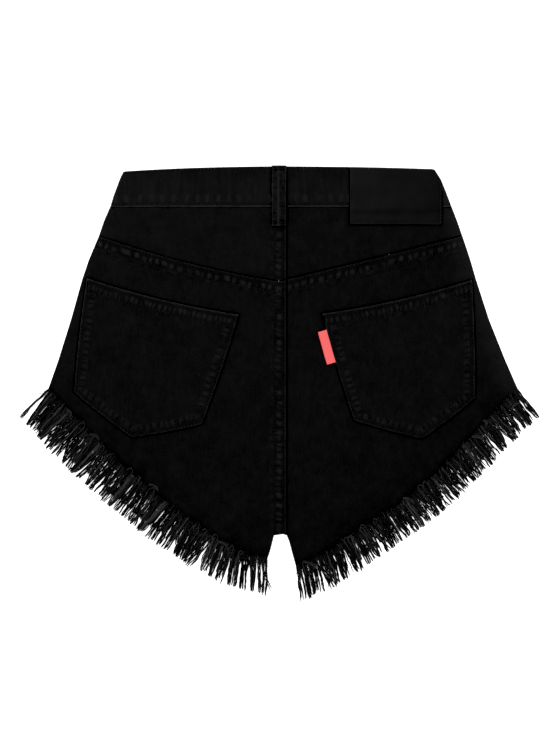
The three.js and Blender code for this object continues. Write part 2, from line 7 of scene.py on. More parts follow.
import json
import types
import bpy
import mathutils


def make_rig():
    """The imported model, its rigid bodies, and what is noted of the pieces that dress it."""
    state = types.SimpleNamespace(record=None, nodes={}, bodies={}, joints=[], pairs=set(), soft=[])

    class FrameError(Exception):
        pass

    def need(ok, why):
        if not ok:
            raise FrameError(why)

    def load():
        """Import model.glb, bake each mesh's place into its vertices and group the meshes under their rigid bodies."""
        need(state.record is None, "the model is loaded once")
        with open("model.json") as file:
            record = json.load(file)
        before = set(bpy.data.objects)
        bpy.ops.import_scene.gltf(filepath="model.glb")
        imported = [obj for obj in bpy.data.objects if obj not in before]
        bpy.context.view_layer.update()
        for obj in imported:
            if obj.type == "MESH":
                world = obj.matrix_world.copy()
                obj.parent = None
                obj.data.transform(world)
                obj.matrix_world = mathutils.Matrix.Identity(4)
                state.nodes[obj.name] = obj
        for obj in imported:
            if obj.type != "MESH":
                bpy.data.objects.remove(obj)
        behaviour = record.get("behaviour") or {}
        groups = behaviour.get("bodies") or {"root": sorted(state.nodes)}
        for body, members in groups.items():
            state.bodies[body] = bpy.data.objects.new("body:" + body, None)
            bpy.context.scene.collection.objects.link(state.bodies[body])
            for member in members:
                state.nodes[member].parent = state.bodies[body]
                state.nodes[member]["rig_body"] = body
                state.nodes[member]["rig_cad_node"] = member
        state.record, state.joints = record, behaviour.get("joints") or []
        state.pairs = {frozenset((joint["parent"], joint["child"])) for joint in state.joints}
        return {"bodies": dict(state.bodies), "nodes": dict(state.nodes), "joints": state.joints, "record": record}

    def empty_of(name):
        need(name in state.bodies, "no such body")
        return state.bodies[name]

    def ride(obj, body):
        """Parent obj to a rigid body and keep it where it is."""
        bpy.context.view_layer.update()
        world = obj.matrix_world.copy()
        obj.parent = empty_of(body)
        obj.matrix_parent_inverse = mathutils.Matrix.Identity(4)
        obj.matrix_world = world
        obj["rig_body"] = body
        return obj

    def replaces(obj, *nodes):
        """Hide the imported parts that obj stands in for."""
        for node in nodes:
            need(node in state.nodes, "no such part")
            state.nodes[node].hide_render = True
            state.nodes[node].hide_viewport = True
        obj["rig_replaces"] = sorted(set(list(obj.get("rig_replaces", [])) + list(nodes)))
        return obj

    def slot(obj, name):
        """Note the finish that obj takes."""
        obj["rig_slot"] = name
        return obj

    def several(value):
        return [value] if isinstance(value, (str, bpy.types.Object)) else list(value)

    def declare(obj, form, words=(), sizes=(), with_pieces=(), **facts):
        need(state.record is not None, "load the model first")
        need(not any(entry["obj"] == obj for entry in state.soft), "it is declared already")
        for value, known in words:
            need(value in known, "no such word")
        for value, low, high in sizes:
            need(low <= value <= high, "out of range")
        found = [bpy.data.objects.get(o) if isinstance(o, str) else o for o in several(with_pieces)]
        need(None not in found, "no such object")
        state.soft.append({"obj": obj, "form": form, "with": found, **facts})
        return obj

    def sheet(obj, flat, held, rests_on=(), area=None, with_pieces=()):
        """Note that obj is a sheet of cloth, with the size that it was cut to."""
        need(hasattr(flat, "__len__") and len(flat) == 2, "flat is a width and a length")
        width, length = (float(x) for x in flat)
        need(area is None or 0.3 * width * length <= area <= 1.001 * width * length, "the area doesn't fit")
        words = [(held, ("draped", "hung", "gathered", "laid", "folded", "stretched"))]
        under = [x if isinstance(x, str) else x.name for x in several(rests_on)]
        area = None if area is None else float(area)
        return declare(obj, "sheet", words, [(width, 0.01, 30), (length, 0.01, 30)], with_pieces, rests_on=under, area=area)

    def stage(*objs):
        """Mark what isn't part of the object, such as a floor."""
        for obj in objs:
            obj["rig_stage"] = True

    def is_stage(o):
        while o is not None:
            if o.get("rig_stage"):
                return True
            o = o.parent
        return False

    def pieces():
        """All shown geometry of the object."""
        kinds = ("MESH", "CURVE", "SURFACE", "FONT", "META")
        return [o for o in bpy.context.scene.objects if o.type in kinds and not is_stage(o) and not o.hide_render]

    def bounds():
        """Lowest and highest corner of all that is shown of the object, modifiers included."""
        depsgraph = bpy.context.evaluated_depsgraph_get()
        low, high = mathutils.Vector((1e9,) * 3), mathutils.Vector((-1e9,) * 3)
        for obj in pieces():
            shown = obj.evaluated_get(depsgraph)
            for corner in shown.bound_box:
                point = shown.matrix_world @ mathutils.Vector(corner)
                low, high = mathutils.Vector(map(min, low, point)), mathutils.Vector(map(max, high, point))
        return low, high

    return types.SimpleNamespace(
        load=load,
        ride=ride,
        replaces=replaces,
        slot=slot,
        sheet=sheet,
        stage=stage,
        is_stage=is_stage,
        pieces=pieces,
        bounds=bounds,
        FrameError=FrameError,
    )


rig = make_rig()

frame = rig.load()
cad_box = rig.bounds()

import json
import math
import random
from bisect import bisect_right

import bmesh
import bpy
from mathutils import Matrix, Vector, noise

MM = 0.001

# Thickness of what it is made of
CLOTH = 1.1
BAND = 2.2
LOOP = 1.4
LEATHER = 1.2
RIBBON = 1.0
GAP = 0.3
# How far the yokes and facings go up into the waistband, so that no light comes through
TUCK = 0.3

# Felled seams and the pocket hem: from the folded edge to the end of the raised strip
FELL = {"width": 13, "height": 0.8, "edge": 1.5}
POCKET_HEM = {"width": 13, "height": 0.7}

# How far each side of the outline reaches at each height
SIDES = [
    (204, -143, 145),
    (198, -147, 149),
    (190, -150.6, 154),
    (177.6, -155.3, 159),
    (164.4, -159.5, 164),
    (150, -165.8, 169.6),
    (136, -170.5, 174.5),
    (114, -180, 182),
    (95, -186.5, 187.6),
    (57, -197.1, 200),
    (19, -209, 215.2),
    (-8, -218.5, 227),
]

# The raw hems of the back, and the inside leg seams from them up to the crotch
HEMS = {
    "left": [(-10.5, -170), (-42, -160), (-92, -127), (-141, -87), (-184, -46), (-218.5, -8)],
    "right": [(16.5, -177), (45, -163), (88, -135), (138, -100), (178, -60), (202, -34), (227, -8)],
}
INSIDE_LEGS = {
    "left": [(-7.6, -161), (-4.3, -147.4)],
    "right": [(13, -164.4), (10, -153), (7.7, -147.4)],
}
CROTCH_Y = -145.4
FRONT_HEM_RISE = 8

# Waist and yoke
BAND_TOP = {"centre": 202, "left": 197.6, "right": 199.8}
BAND_BOTTOM = 163.4
FRONT_DIP = 13
YOKE = {
    "point": 93.5,
    "side_y": 136.5,
    "slope": {"left": 0.252, "right": 0.247},
    "sag": {"left": 4.1, "right": 0.6},
}
SEAM_EDGE = 7.4
SCOOP = {"top_x": 92, "side_y": 78, "set_back": 0.5}

# Back patch pockets, anticlockwise from the inner low corner of the right one
POCKETS = {
    "left": {
        "low_inner": (-72.4, -41.9),
        "tip": (-139, -54.6),
        "low_outer": (-194, -11.5),
        "top_outer": (-181.4, 96.6),
        "top_inner": (-37.4, 62),
    },
    "right": {
        "low_inner": (71.5, -38.2),
        "tip": (136, -55.8),
        "low_outer": (186, -17.4),
        "top_outer": (183.2, 95),
        "top_inner": (41.2, 62.9),
    },
}
# How far the middle of each edge bows out, in the order of the edges anticlockwise
POCKET_BOWS = {"top": -3.2, "inner": 1.2, "outer": 1.2, "low": 0.9}
POCKET_ORDER = {
    "left": ("top", "outer", "low", "low", "inner"),
    "right": ("low", "low", "outer", "top", "inner"),
}

# Trims
BACK_LOOP = {"x": 0.5, "width": 14.2, "bottom": 145.2, "top": 202.7, "slack": 0.7}
FRONT_LOOP = {"x": 84, "width": 12.5, "bottom": 137, "top": 194}
PATCH = {"left": 67, "right": 155.3, "bottom": 146.4, "margin": 0.6, "height": 54}
TAB = {"width": 8, "length": 32, "drop": 15.8}
BUTTON = {"radius": 8.5, "cap": 2.15, "dish": 0.35, "y": 170}

# How the layers lie
FRONT_LIFT = LOOP + GAP
BAND_LIFT = (BAND - CLOTH) / 2
PRESS = {"height": 0.9, "spread": 24}
LOFT = 3.6
SIDE_LOFT = BAND - CLOTH
SEAT_IN = 70
SEAT_UP = 110
STEP = {"from": 8, "to": 1}

# Rows of stitches: how far they lie in from the folded edge that they hold
STITCH = {"length": 2.7, "pitch": 3.3, "width": 0.52}
TACK = {"length": 2.0, "pitch": 2.0, "width": 0.6}
TACK_STEP = 0.75
FELL_ROWS = (1.9, 10.4)
HEM_ROWS = (1.9, 10.8)
POCKET_ROWS = (1.7, 7.6)
CENTRE_ROWS = (1.6, 10.6)
BAND_ROW = 2.2
PATCH_ROW = 2.2

# How grey the washed cloth is, from 0 to 1, away from its seams. The side entry is how much lighter it grows towards
# the side edges, where it rounds over: partly wear, partly painted highlight.
TONES = {
    "panel": {"left": 0.285, "right": 0.28},
    "yoke": {"left": 0.3, "right": 0.28},
    "side": {"left": 0.01, "right": 0.17},
    "pocket": {"left": 0.285, "right": 0.295},
    "band": 0.305,
    "loop": 0.3,
    "front": 0.29,
}

# Fringe. The lengths and tilts go evenly from the inside leg to the side. A tilt is the
# yarn's angle from straight down, in degrees.
# Real yarns are about half as thick. These are drawn as coarse as they need to show.
YARN = 0.6
# How far inside the hem the yarns start, and how near the floor their middle comes
YARN_ROOT = 1.2
YARN_REST = 0.45
# Shares of black, faded and grey yarns in the fringe and in what lies loose over its edge
FRINGE_TONES = (0.6, 0.27, 0.13)
LOOSE_TONES = (0.45, 0.4, 0.15)
FRINGES = {
    "back": {
        "spacing": 0.36,
        "left": {"lengths": (35, 37.5, 39, 40, 40), "tilts": (-5, 32, 38, 40, 46)},
        "right": {"lengths": (34.5, 33.5, 31.5, 32.5, 34), "tilts": (8, 32, 38, 40, 37)},
    },
    "front": {
        "spacing": 0.5,
        "left": {"lengths": (31, 34, 35.5, 36, 35), "tilts": (-5, 32, 38, 40, 46)},
        "right": {"lengths": (31, 30.5, 29, 29.5, 30.5), "tilts": (8, 32, 38, 40, 37)},
    },
}
# Light bunches of yarn that lie over the frayed edge, from one end to the other
TUFTS = {
    "left": [
        ((-180, -51), (-168, -57)),
        ((-123, -99), (-112, -106)),
        ((-58, -153), (-46, -160)),
        ((-201, -28), (-196, -35)),
    ],
    "right": [
        ((23, -172), (39, -180)),
        ((183, -54), (197, -57)),
        ((194, -38), (198, -45)),
        ((221, -28), (229, -21)),
        ((118, -112), (130, -117)),
    ],
}

SIGN = {"left": -1, "right": 1}


def side_of(x):
    return "left" if x < 0 else "right"


def lerp(a, b, t):
    return a + (b - a) * t


def clamp(x, low=0.0, high=1.0):
    return max(low, min(high, x))


def smooth(x, low, high):
    t = clamp((x - low) / (high - low))
    return t * t * (3 - 2 * t)


def bell(x, width):
    return math.exp(-((x / width) ** 2))


def wander(x, y, size, seed):
    """Smooth noise from -1 to 1 over a place, with lumps of about a size."""
    return noise.noise(Vector((x / size, y / size, seed * 7.31)))


# Plan curves are functions of t from 0 to 1 that give (x, y)


def track(points):
    """Goes evenly along straight lines from point to point."""
    points = [Vector(p) for p in points]
    marks = [0.0]
    for a, b in zip(points, points[1:]):
        marks.append(marks[-1] + (b - a).length)

    def at(t):
        s = clamp(t) * marks[-1]
        k = min(len(points) - 2, max(0, bisect_right(marks, s) - 1))
        return tuple(points[k].lerp(points[k + 1], (s - marks[k]) / (marks[k + 1] - marks[k])))

    at.length = marks[-1]
    at.marks = marks
    return at


def curved(points, count=24):
    """A smooth curve through the points, as a row of many points."""
    rows = []
    last = len(points) - 1
    for k in range(last):
        around = (points[max(0, k - 1)], points[k], points[k + 1], points[min(last, k + 2)])
        for i in range(count):
            t = i / count
            rows.append(tuple(catmull(t, *(p[axis] for p in around)) for axis in (0, 1)))
    return rows + [tuple(points[-1])]


def catmull(t, a, b, c, d):
    v0, v1 = (c - a) / 2, (d - b) / 2
    return (2 * b - 2 * c + v0 + v1) * t**3 + (3 * c - 3 * b - 2 * v0 - v1) * t**2 + v0 * t + b


def side_x(side, y):
    column = 1 if side == "left" else 2
    k = next((i for i, row in enumerate(SIDES) if row[0] < y), len(SIDES) - 1)
    a, b = SIDES[max(1, k) - 1], SIDES[max(1, k)]
    return lerp(a[column], b[column], (a[0] - y) / (a[0] - b[0]))


def side_line(side, low, high):
    return lambda t: (side_x(side, lerp(low, high, t)), lerp(low, high, t))


YOKE_REACH = {side: side_x(side, YOKE["side_y"]) for side in SIGN}
YOKE_COS = {side: math.cos(math.atan(slope)) for side, slope in YOKE["slope"].items()}


def yoke_y(x):
    side = side_of(x)
    sag = YOKE["sag"][side] * math.sin(math.pi * clamp(x / YOKE_REACH[side]))
    return YOKE["point"] + YOKE["slope"][side] * abs(x) - sag


def band_top(share):
    return lerp(BAND_TOP["centre"], BAND_TOP[side_of(share)], share**2)


def dip_at(share):
    return FRONT_DIP * math.cos(clamp(share, -1, 1) * math.pi / 2) ** 2


def front_band_bottom(x):
    return BAND_BOTTOM - dip_at(x / side_x(side_of(x), BAND_BOTTOM))


HEM_TRACKS = {side: track(curved(rows)) for side, rows in HEMS.items()}


def front_hem(side):
    def at(t):
        x, y = HEM_TRACKS[side](t)
        return x, y + FRONT_HEM_RISE * math.sin(math.pi * t)

    return at


def patch_plan(left, right, bottom, top):
    """A Coons patch between four plan curves, u to the right and v upwards."""
    corners = (bottom(0), bottom(1), top(0), top(1))

    def at(u, v):
        low, high, west, east = bottom(u), top(u), left(v), right(v)
        return tuple(
            lerp(low[k], high[k], v)
            + lerp(west[k], east[k], u)
            - lerp(lerp(corners[0][k], corners[1][k], u), lerp(corners[2][k], corners[3][k], u), v)
            for k in (0, 1)
        )

    return at


def half_plan(side, inner, outer, bottom, top):
    """The patch of one half, whose bottom and top run out from its inner edge."""
    if side == "right":
        return patch_plan(inner, outer, bottom, top)
    return patch_plan(outer, inner, lambda t: bottom(1 - t), lambda t: top(1 - t))


def stops(marks, step, close=()):
    """Shares of a length at its marks, no more than a step apart, closer at both ends."""
    length = marks[-1]
    places = set(marks)
    for a, b in zip(marks, marks[1:]):
        count = max(1, math.ceil((b - a) / step))
        places |= {lerp(a, b, k / count) for k in range(count)}
    places |= {c for c in close} | {length - c for c in close}
    kept = []
    for place in sorted(places):
        if not kept or place - kept[-1] > 0.2:
            kept.append(place)
    kept[-1] = length
    return [place / length for place in kept]


# Extra grid lines close to an edge that rolls over
CLOSE = (0.35, 0.8, 1.4, 2.2)
# Further from an edge than anything that it does to the cloth
FAR = 99.0

# Heights of the layers, as in the solid model


def front_under(x, y):
    lift = FRONT_LIFT * smooth(y, 85, 140) + BAND_LIFT * smooth(y, 137, 150)
    return lift + PRESS["height"] * bell(x, PRESS["spread"]) * smooth(y, 95, 130)


def above_hem(x, y):
    rows = HEMS[side_of(x)]
    k = next((i for i, row in enumerate(rows) if abs(row[0]) > abs(x)), len(rows) - 1)
    a, b = rows[max(1, k) - 1], rows[max(1, k)]
    return y - lerp(a[1], b[1], clamp((x - a[0]) / (b[0] - a[0])))


def in_from_side(x, y):
    return abs(side_x(side_of(x), y)) - abs(x)


def puff(x, y):
    seat = math.sin(math.pi / 2 * clamp(in_from_side(x, y) / SEAT_IN))
    return lerp(SIDE_LOFT * smooth(y, 40, 110), LOFT, seat * smooth(above_hem(x, y), 0, SEAT_UP))


def back_under(x, y):
    return front_under(x, y) + CLOTH + GAP + puff(x, y)


def fell_at(distance):
    if distance < -GAP:
        return 0.0
    return FELL["height"] * smooth(FELL["width"] - distance, -FELL["edge"], 0)


def yoke_distance(x, y):
    return (yoke_y(x) - y) * YOKE_COS[side_of(x)]


def centre_fell(x):
    return fell_at(SEAM_EDGE - x)


def yoke_over(x, y):
    return back_under(x, y) + CLOTH + centre_fell(x)


def back_over(x, y):
    return back_under(x, y) + CLOTH + max(centre_fell(x), fell_at(yoke_distance(x, y)))


def band_over(x, y):
    return back_under(x, y) + (CLOTH + BAND) / 2


def waist_over(x, y):
    if y > BAND_BOTTOM:
        return band_over(x, y)
    share = smooth(y, BAND_BOTTOM - STEP["from"], BAND_BOTTOM - STEP["to"])
    return lerp(yoke_over(x, y), band_over(x, BAND_BOTTOM), share)


# Sewing: what folds, stitches and puckers do to the cloth's surface. Each gives how much it raises the cloth, and how
# much it wears the dye off or darkens it with painted shade, at a distance in from the edge.


def fold_drop(distance, radius):
    """How far a rounded edge lies below the flat of the cloth."""
    if distance >= radius:
        return 0.0
    return radius - math.sqrt(max(0.0, radius**2 - (radius - max(0.0, distance)) ** 2))


def puckers(distance, along, near, far, period, seed, fill=0.85):
    """Lumps from 0 to 1 between two rows of stitches, where shrunk stitches gather the
    cloth. Each lump has its own width, reach, slant and strength."""
    if not near < distance < far + 1:
        return 0.0
    phase = along / period + 0.8 * wander(along, 0, 3.1 * period, seed)
    slot = math.floor(phase)
    size, slant, reach, force = (
        clamp(0.5 + wander(1.37 * slot, k, 1, seed)) for k in (0.3, 0.6, 0.9, 1.2)
    )
    across = 2 * (phase - slot) - 1 + (slant - 0.5) * (distance - near) / (far - near)
    lump = smooth(1 - abs(across) / (fill * (0.6 + 0.6 * size)), 0, 0.6)
    start, end = near + 1.8 * (1 - reach), far - 2 * reach
    tall = smooth(distance, start, start + 1.6) * (1 - smooth(distance, end - 1.4, end + 0.8))
    return lump * tall * clamp(0.3 + 0.85 * force)


def seam_relief(distance, along, rows, seed, period=7.4, depth=0.5):
    """A gathered strip between two rows of stitches, with smaller lumps past the second. Gives the height and the
    tone: pucker crests worn paler, with painted shade over the strip and in the stitch grooves.
    """
    first, second = rows
    groove = bell(distance - first, 0.8) + bell(distance - second, 0.7)
    strip = smooth(distance, first, first + 1.6) * (1 - smooth(distance, second, second + 2))
    lump = puckers(distance, along, first + 1.6, second + 0.4, period, seed)
    lump += 0.3 * puckers(distance, along + 3, second + 0.4, second + 6, 1.3 * period, seed + 40)
    return depth * lump - 0.12 * strip - 0.16 * groove, lump - 0.16 * strip - 0.05 * groove


def edge_wear(distance, along, seed):
    """The dye is gone in patches along the very edge of a fold."""
    if distance > 3.5:
        return 0.0
    return bell(distance, 0.8) * clamp(0.72 + 0.9 * wander(along, 0, 5.5, seed), 0.4, 1)


def edges_of(corners, bows=(0, 0, 0, 0)):
    """Edges of an outline that runs anticlockwise: start, direction, length, and how far
    the middle bows out."""
    rows = []
    for a, b, bow in zip(corners, corners[1:] + corners[:1], bows):
        run = Vector(b) - Vector(a)
        rows.append((Vector(a), run.normalized(), run.length, bow))
    return rows


def along_edge(edge, x, y):
    return edge[1].dot(Vector((x, y)) - edge[0])


def inside(edge, x, y):
    start, run, length, bow = edge
    share = clamp(along_edge(edge, x, y) / length)
    return run.x * (y - start.y) - run.y * (x - start.x) + 4 * bow * share * (1 - share)


def depth_in(edges, x, y):
    """How far inside a convex outline a place is, negative outside."""
    return min(inside(edge, x, y) for edge in edges)


def box_edges(left, right, bottom, top):
    return edges_of([(left, bottom), (right, bottom), (right, top), (left, top)])


def pocket_edges(side):
    corners = list(POCKETS[side].values())
    bows = [POCKET_BOWS[kind] for kind in POCKET_ORDER[side]]
    return edges_of(corners if side == "right" else corners[::-1], bows)


POCKET_EDGES = {side: pocket_edges(side) for side in SIGN}
LOOP_EDGES = box_edges(
    BACK_LOOP["x"] - BACK_LOOP["width"] / 2,
    BACK_LOOP["x"] + BACK_LOOP["width"] / 2,
    BACK_LOOP["bottom"],
    BACK_LOOP["top"] + 20,
)


def beside_loop(x, y):
    """How far a place is from the back loop's shadow, which falls to its right and below."""
    away = max(0.0, -depth_in(LOOP_EDGES, x, y))
    return away + 1.4 * smooth(LOOP_EDGES[0][0].x - x, 0, 0.6)


def tab_frame():
    """The top corner of the tab at the pocket's edge, the way down it and the way out."""
    top = Vector(POCKETS["right"]["top_inner"])
    down = (Vector(POCKETS["right"]["low_inner"]) - top).normalized()
    return top + down * TAB["drop"], down, Vector((down.y, -down.x))


def flat_cut(plan):
    """The width, length and area in metres of the flat piece that a plan is cut as."""
    shares = [k / 40 for k in range(40)]
    rim = [plan(t, 0) for t in shares] + [plan(1, t) for t in shares]
    rim += [plan(1 - t, 1) for t in shares] + [plan(0, 1 - t) for t in shares]
    twice = sum(a[0] * b[1] - b[0] * a[1] for a, b in zip(rim, rim[1:] + rim[:1]))
    width, length = (max(values) - min(values) for values in zip(*rim))
    return {"flat": (width * MM, length * MM), "area": abs(twice) / 2 * MM * MM}


# Meshes


def finish(name, bm, material, thickness=0.0):
    """Turns a finished bmesh in millimetres into a piece in metres."""
    bmesh.ops.scale(bm, vec=(MM, MM, MM), verts=bm.verts)
    for face in bm.faces:
        face.smooth = True
    mesh = bpy.data.meshes.new(name)
    bm.to_mesh(mesh)
    bm.free()
    mesh.materials.append(material)
    piece = bpy.data.objects.new(name, mesh)
    bpy.context.collection.objects.link(piece)
    if thickness:
        wall = piece.modifiers.new("wall", "SOLIDIFY")
        wall.thickness = thickness * MM
        wall.offset = -1
        wall.use_even_offset = False
    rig.ride(piece, "root")
    return piece


def cloth(name, columns, rows, place, material, thickness):
    """A sheet of cloth from a grid. place(u, v) gives a point of its outer face, its wear with painted shade and
    highlight, and how far the nearest edge that casts a painted shadow on it is. The ribbon keeps its place along and
    across in these two instead."""
    bm = bmesh.new()
    across, up = len(columns) - 1, len(rows) - 1
    bmesh.ops.create_grid(bm, x_segments=across, y_segments=up, size=0.5)
    fade = bm.verts.layers.float.new("fade")
    shelter = bm.verts.layers.float.new("shelter")
    for vert in bm.verts:
        u = columns[round((vert.co.x + 0.5) * across)]
        v = rows[round((vert.co.y + 0.5) * up)]
        vert.co, vert[fade], vert[shelter] = place(u, v)
    return finish(name, bm, material, thickness)


def over_plan(plan, surface):
    """Places a grid over a plan patch. surface(x, y) gives height, wear with painted shade and highlight, and the
    distance to the edge that casts a painted shadow.
    """

    def place(u, v):
        x, y = plan(u, v)
        z, fade, shelter = surface(x, y)
        return Vector((x, y, z)), fade, shelter

    return place


# Materials


def linear(code):
    """An sRGB hex colour as linear red, green, blue and alpha."""
    parts = [int(code[i : i + 2], 16) / 255 for i in (1, 3, 5)]
    return [p / 12.92 if p <= 0.04045 else ((p + 0.055) / 1.055) ** 2.4 for p in parts] + [1.0]


def add(tree, kind, inputs=None, **settings):
    """Adds a node with its settings, and links or sets its inputs."""
    made = tree.nodes.new("ShaderNode" + kind)
    for key, value in settings.items():
        setattr(made, key, value)
    for socket, value in (inputs or {}).items():
        if isinstance(value, bpy.types.NodeSocket):
            tree.links.new(value, made.inputs[socket])
        else:
            made.inputs[socket].default_value = value
    return made


def new_material(name):
    material = bpy.data.materials.new(name)
    material.use_nodes = True
    material.node_tree.nodes.clear()
    return material, material.node_tree


def per_mm(size):
    """Scale that gives a noise lumps of about a size in millimetres."""
    return 1 / (size * MM)


# At a scale of 1, the bands of a wave texture repeat after this length
WAVE = math.pi / 10


def wave_scale(period):
    """Scale of a wave texture whose bands repeat every period in millimetres."""
    return WAVE / (period * MM)


def washed_denim():
    """Washed black denim: a three-to-one twill of sulphur-dyed cotton, garment washed. Matt and almost black, mottled
    grey, paler where the dye is worn off folded edges and pucker crests. Its colour also holds painted light: a
    painted highlight towards the side edges, partly wear; painted shade over gathered seam strips, in stitch grooves
    and towards the hem; and painted shadows beside seams, pockets, the tab and the back loop. The twill's ribs are 1.3
    mm apart."""
    material, tree = new_material("washed_black_denim")
    place = add(tree, "TexCoord").outputs["Object"]
    # Two attributes: the cloth's wear, painted shade and painted highlight, and how far it is from an edge that casts
    # a painted shadow on it.
    fade = add(tree, "Attribute", attribute_name="fade").outputs["Fac"]
    shelter = add(tree, "Attribute", attribute_name="shelter").outputs["Fac"]

    # Lumps of a size in mm, how far they are drawn out up the cloth, and how far they
    # shift the tone: mottling, slubs along the warp, and specks
    for size, squeeze, shift in ((18, 1, 0.03), (6, 0.8, 0.03), (1.6, 0.14, 0.022), (1.0, 1, 0.05)):
        at = add(tree, "Mapping", {"Vector": place, "Scale": (1, squeeze, 1)})
        lumps = {"Vector": at.outputs["Vector"], "Scale": per_mm(size), "Detail": 3.0}
        cloud = add(tree, "TexNoise", lumps).outputs["Fac"]
        spread = {"Value": cloud, "From Min": 0.3, "From Max": 0.7, "To Min": -shift}
        change = add(tree, "MapRange", {**spread, "To Max": shift}).outputs["Result"]
        fade = add(tree, "Math", {0: fade, 1: change}, operation="ADD").outputs["Value"]
    # Painted shadow: near an edge that would shade it, the cloth's tone is pulled down towards its darkest.
    painted_shadow = add(
        tree,
        "MapRange",
        {"Value": shelter, "From Min": 0.2, "From Max": 2.2, "To Min": 0.3, "To Max": 1.0},
        interpolation_type="SMOOTHSTEP",
    ).outputs["Result"]
    shown = add(tree, "Math", {0: fade, 1: painted_shadow}, operation="MULTIPLY").outputs["Value"]
    dye_and_shade = add(
        tree,
        "Mix",
        {"Factor": shown, "A": linear("#121212"), "B": linear("#2a2a2a")},
        data_type="RGBA",
        clamp_factor=True,
    )
    lean = add(tree, "Mapping", {"Vector": place, "Rotation": (0, 0, math.radians(27))})
    ribs = add(
        tree,
        "TexWave",
        {
            "Vector": lean.outputs["Vector"],
            "Scale": wave_scale(1.3),
            "Distortion": 1.2,
            "Detail": 1.0,
            "Detail Scale": 2.0,
        },
        wave_type="BANDS",
        bands_direction="X",
    )
    pile = add(tree, "TexNoise", {"Vector": place, "Scale": per_mm(0.7), "Detail": 3.0})
    bump = add(
        tree,
        "Bump",
        {"Height": ribs.outputs["Fac"], "Distance": 0.1 * MM, "Strength": 0.6},
    )
    rough = add(
        tree,
        "Bump",
        {
            "Height": pile.outputs["Fac"],
            "Distance": 0.25 * MM,
            "Strength": 0.6,
            "Normal": bump.outputs["Normal"],
        },
    )
    shader = add(
        tree,
        "BsdfPrincipled",
        {
            "Base Color": dye_and_shade.outputs["Result"],
            "Normal": rough.outputs["Normal"],
            "Roughness": 0.85,
            "Specular IOR Level": 0.12,
            "Sheen Weight": 0.03,
            "Sheen Roughness": 0.5,
            "Sheen Tint": linear("#c8c8c8"),
        },
    )
    add(tree, "OutputMaterial", {"Surface": shader.outputs["BSDF"]})
    return material


def yarn_material(name, code):
    """Unravelled denim yarn: soft ring-spun cotton, duller and greyer where the dye never
    reached its core."""
    material, tree = new_material(name)
    place = add(tree, "TexCoord").outputs["Object"]
    inputs = {"Vector": place, "Scale": per_mm(2.2), "Detail": 3.0, "Roughness": 0.7}
    uneven = add(tree, "TexNoise", inputs)
    tone = add(
        tree,
        "Mix",
        {"Factor": uneven.outputs["Fac"], "A": linear("#191919"), "B": linear(code)},
        data_type="RGBA",
    )
    fuzz = add(tree, "TexNoise", {"Vector": place, "Scale": per_mm(0.25), "Detail": 2.0})
    bump = add(
        tree,
        "Bump",
        {"Height": fuzz.outputs["Fac"], "Distance": 0.12 * MM, "Strength": 0.7},
    )
    shader = add(
        tree,
        "BsdfPrincipled",
        {
            "Base Color": tone.outputs["Result"],
            "Normal": bump.outputs["Normal"],
            "Roughness": 0.8,
            "Specular IOR Level": 0.15,
            "Sheen Weight": 0.04,
            "Sheen Roughness": 0.5,
        },
    )
    add(tree, "OutputMaterial", {"Surface": shader.outputs["BSDF"]})
    return material


def sewing_thread():
    """Black core-spun polyester thread, smoother and a little shinier than the cloth, and
    rubbed grey in stretches."""
    material, tree = new_material("black_sewing_thread")
    place = add(tree, "TexCoord").outputs["Object"]
    stretch = add(tree, "TexNoise", {"Vector": place, "Scale": per_mm(14), "Detail": 1.0})
    rubbed = add(
        tree,
        "MapRange",
        {"Value": stretch.outputs["Fac"], "From Min": 0.5, "From Max": 0.7},
    )
    tone = add(
        tree,
        "Mix",
        {"Factor": rubbed.outputs["Result"], "A": linear("#121212"), "B": linear("#1c1c1c")},
        data_type="RGBA",
    )
    twist = add(tree, "TexNoise", {"Vector": place, "Scale": per_mm(0.3), "Detail": 1.0})
    bump = add(
        tree,
        "Bump",
        {"Height": twist.outputs["Fac"], "Distance": 0.08 * MM, "Strength": 0.5},
    )
    shader = add(
        tree,
        "BsdfPrincipled",
        {
            "Base Color": tone.outputs["Result"],
            "Normal": bump.outputs["Normal"],
            "Roughness": 0.5,
            "Specular IOR Level": 0.3,
        },
    )
    add(tree, "OutputMaterial", {"Surface": shader.outputs["BSDF"]})
    return material


def patch_leather():
    """Black finished leather: a fine pebbled grain under a thin satin coat, so it is even and slightly shiny beside
    the matt cloth. A thin line along its left and bottom edges is greyer."""
    material, tree = new_material("black_patch_leather")
    place = add(tree, "TexCoord").outputs["Object"]
    pebbles = add(
        tree,
        "TexVoronoi",
        {"Vector": place, "Scale": per_mm(1.1), "Smoothness": 0.6},
        feature="SMOOTH_F1",
    )
    cloud = add(tree, "TexNoise", {"Vector": place, "Scale": per_mm(14), "Detail": 3.0})
    tone = add(
        tree,
        "Mix",
        {"Factor": cloud.outputs["Fac"], "A": linear("#131313"), "B": linear("#191919")},
        data_type="RGBA",
    )
    edge_line = add(tree, "Attribute", attribute_name="fade").outputs["Fac"]
    edged = add(
        tree,
        "Mix",
        {"Factor": edge_line, "A": tone.outputs["Result"], "B": linear("#262626")},
        data_type="RGBA",
    )
    bump = add(
        tree,
        "Bump",
        {"Height": pebbles.outputs["Distance"], "Distance": 0.12 * MM, "Strength": 0.4},
    )
    shader = add(
        tree,
        "BsdfPrincipled",
        {
            "Base Color": edged.outputs["Result"],
            "Normal": bump.outputs["Normal"],
            "Roughness": 0.55,
            "Specular IOR Level": 0.1,
        },
    )
    add(tree, "OutputMaterial", {"Surface": shader.outputs["BSDF"]})
    return material


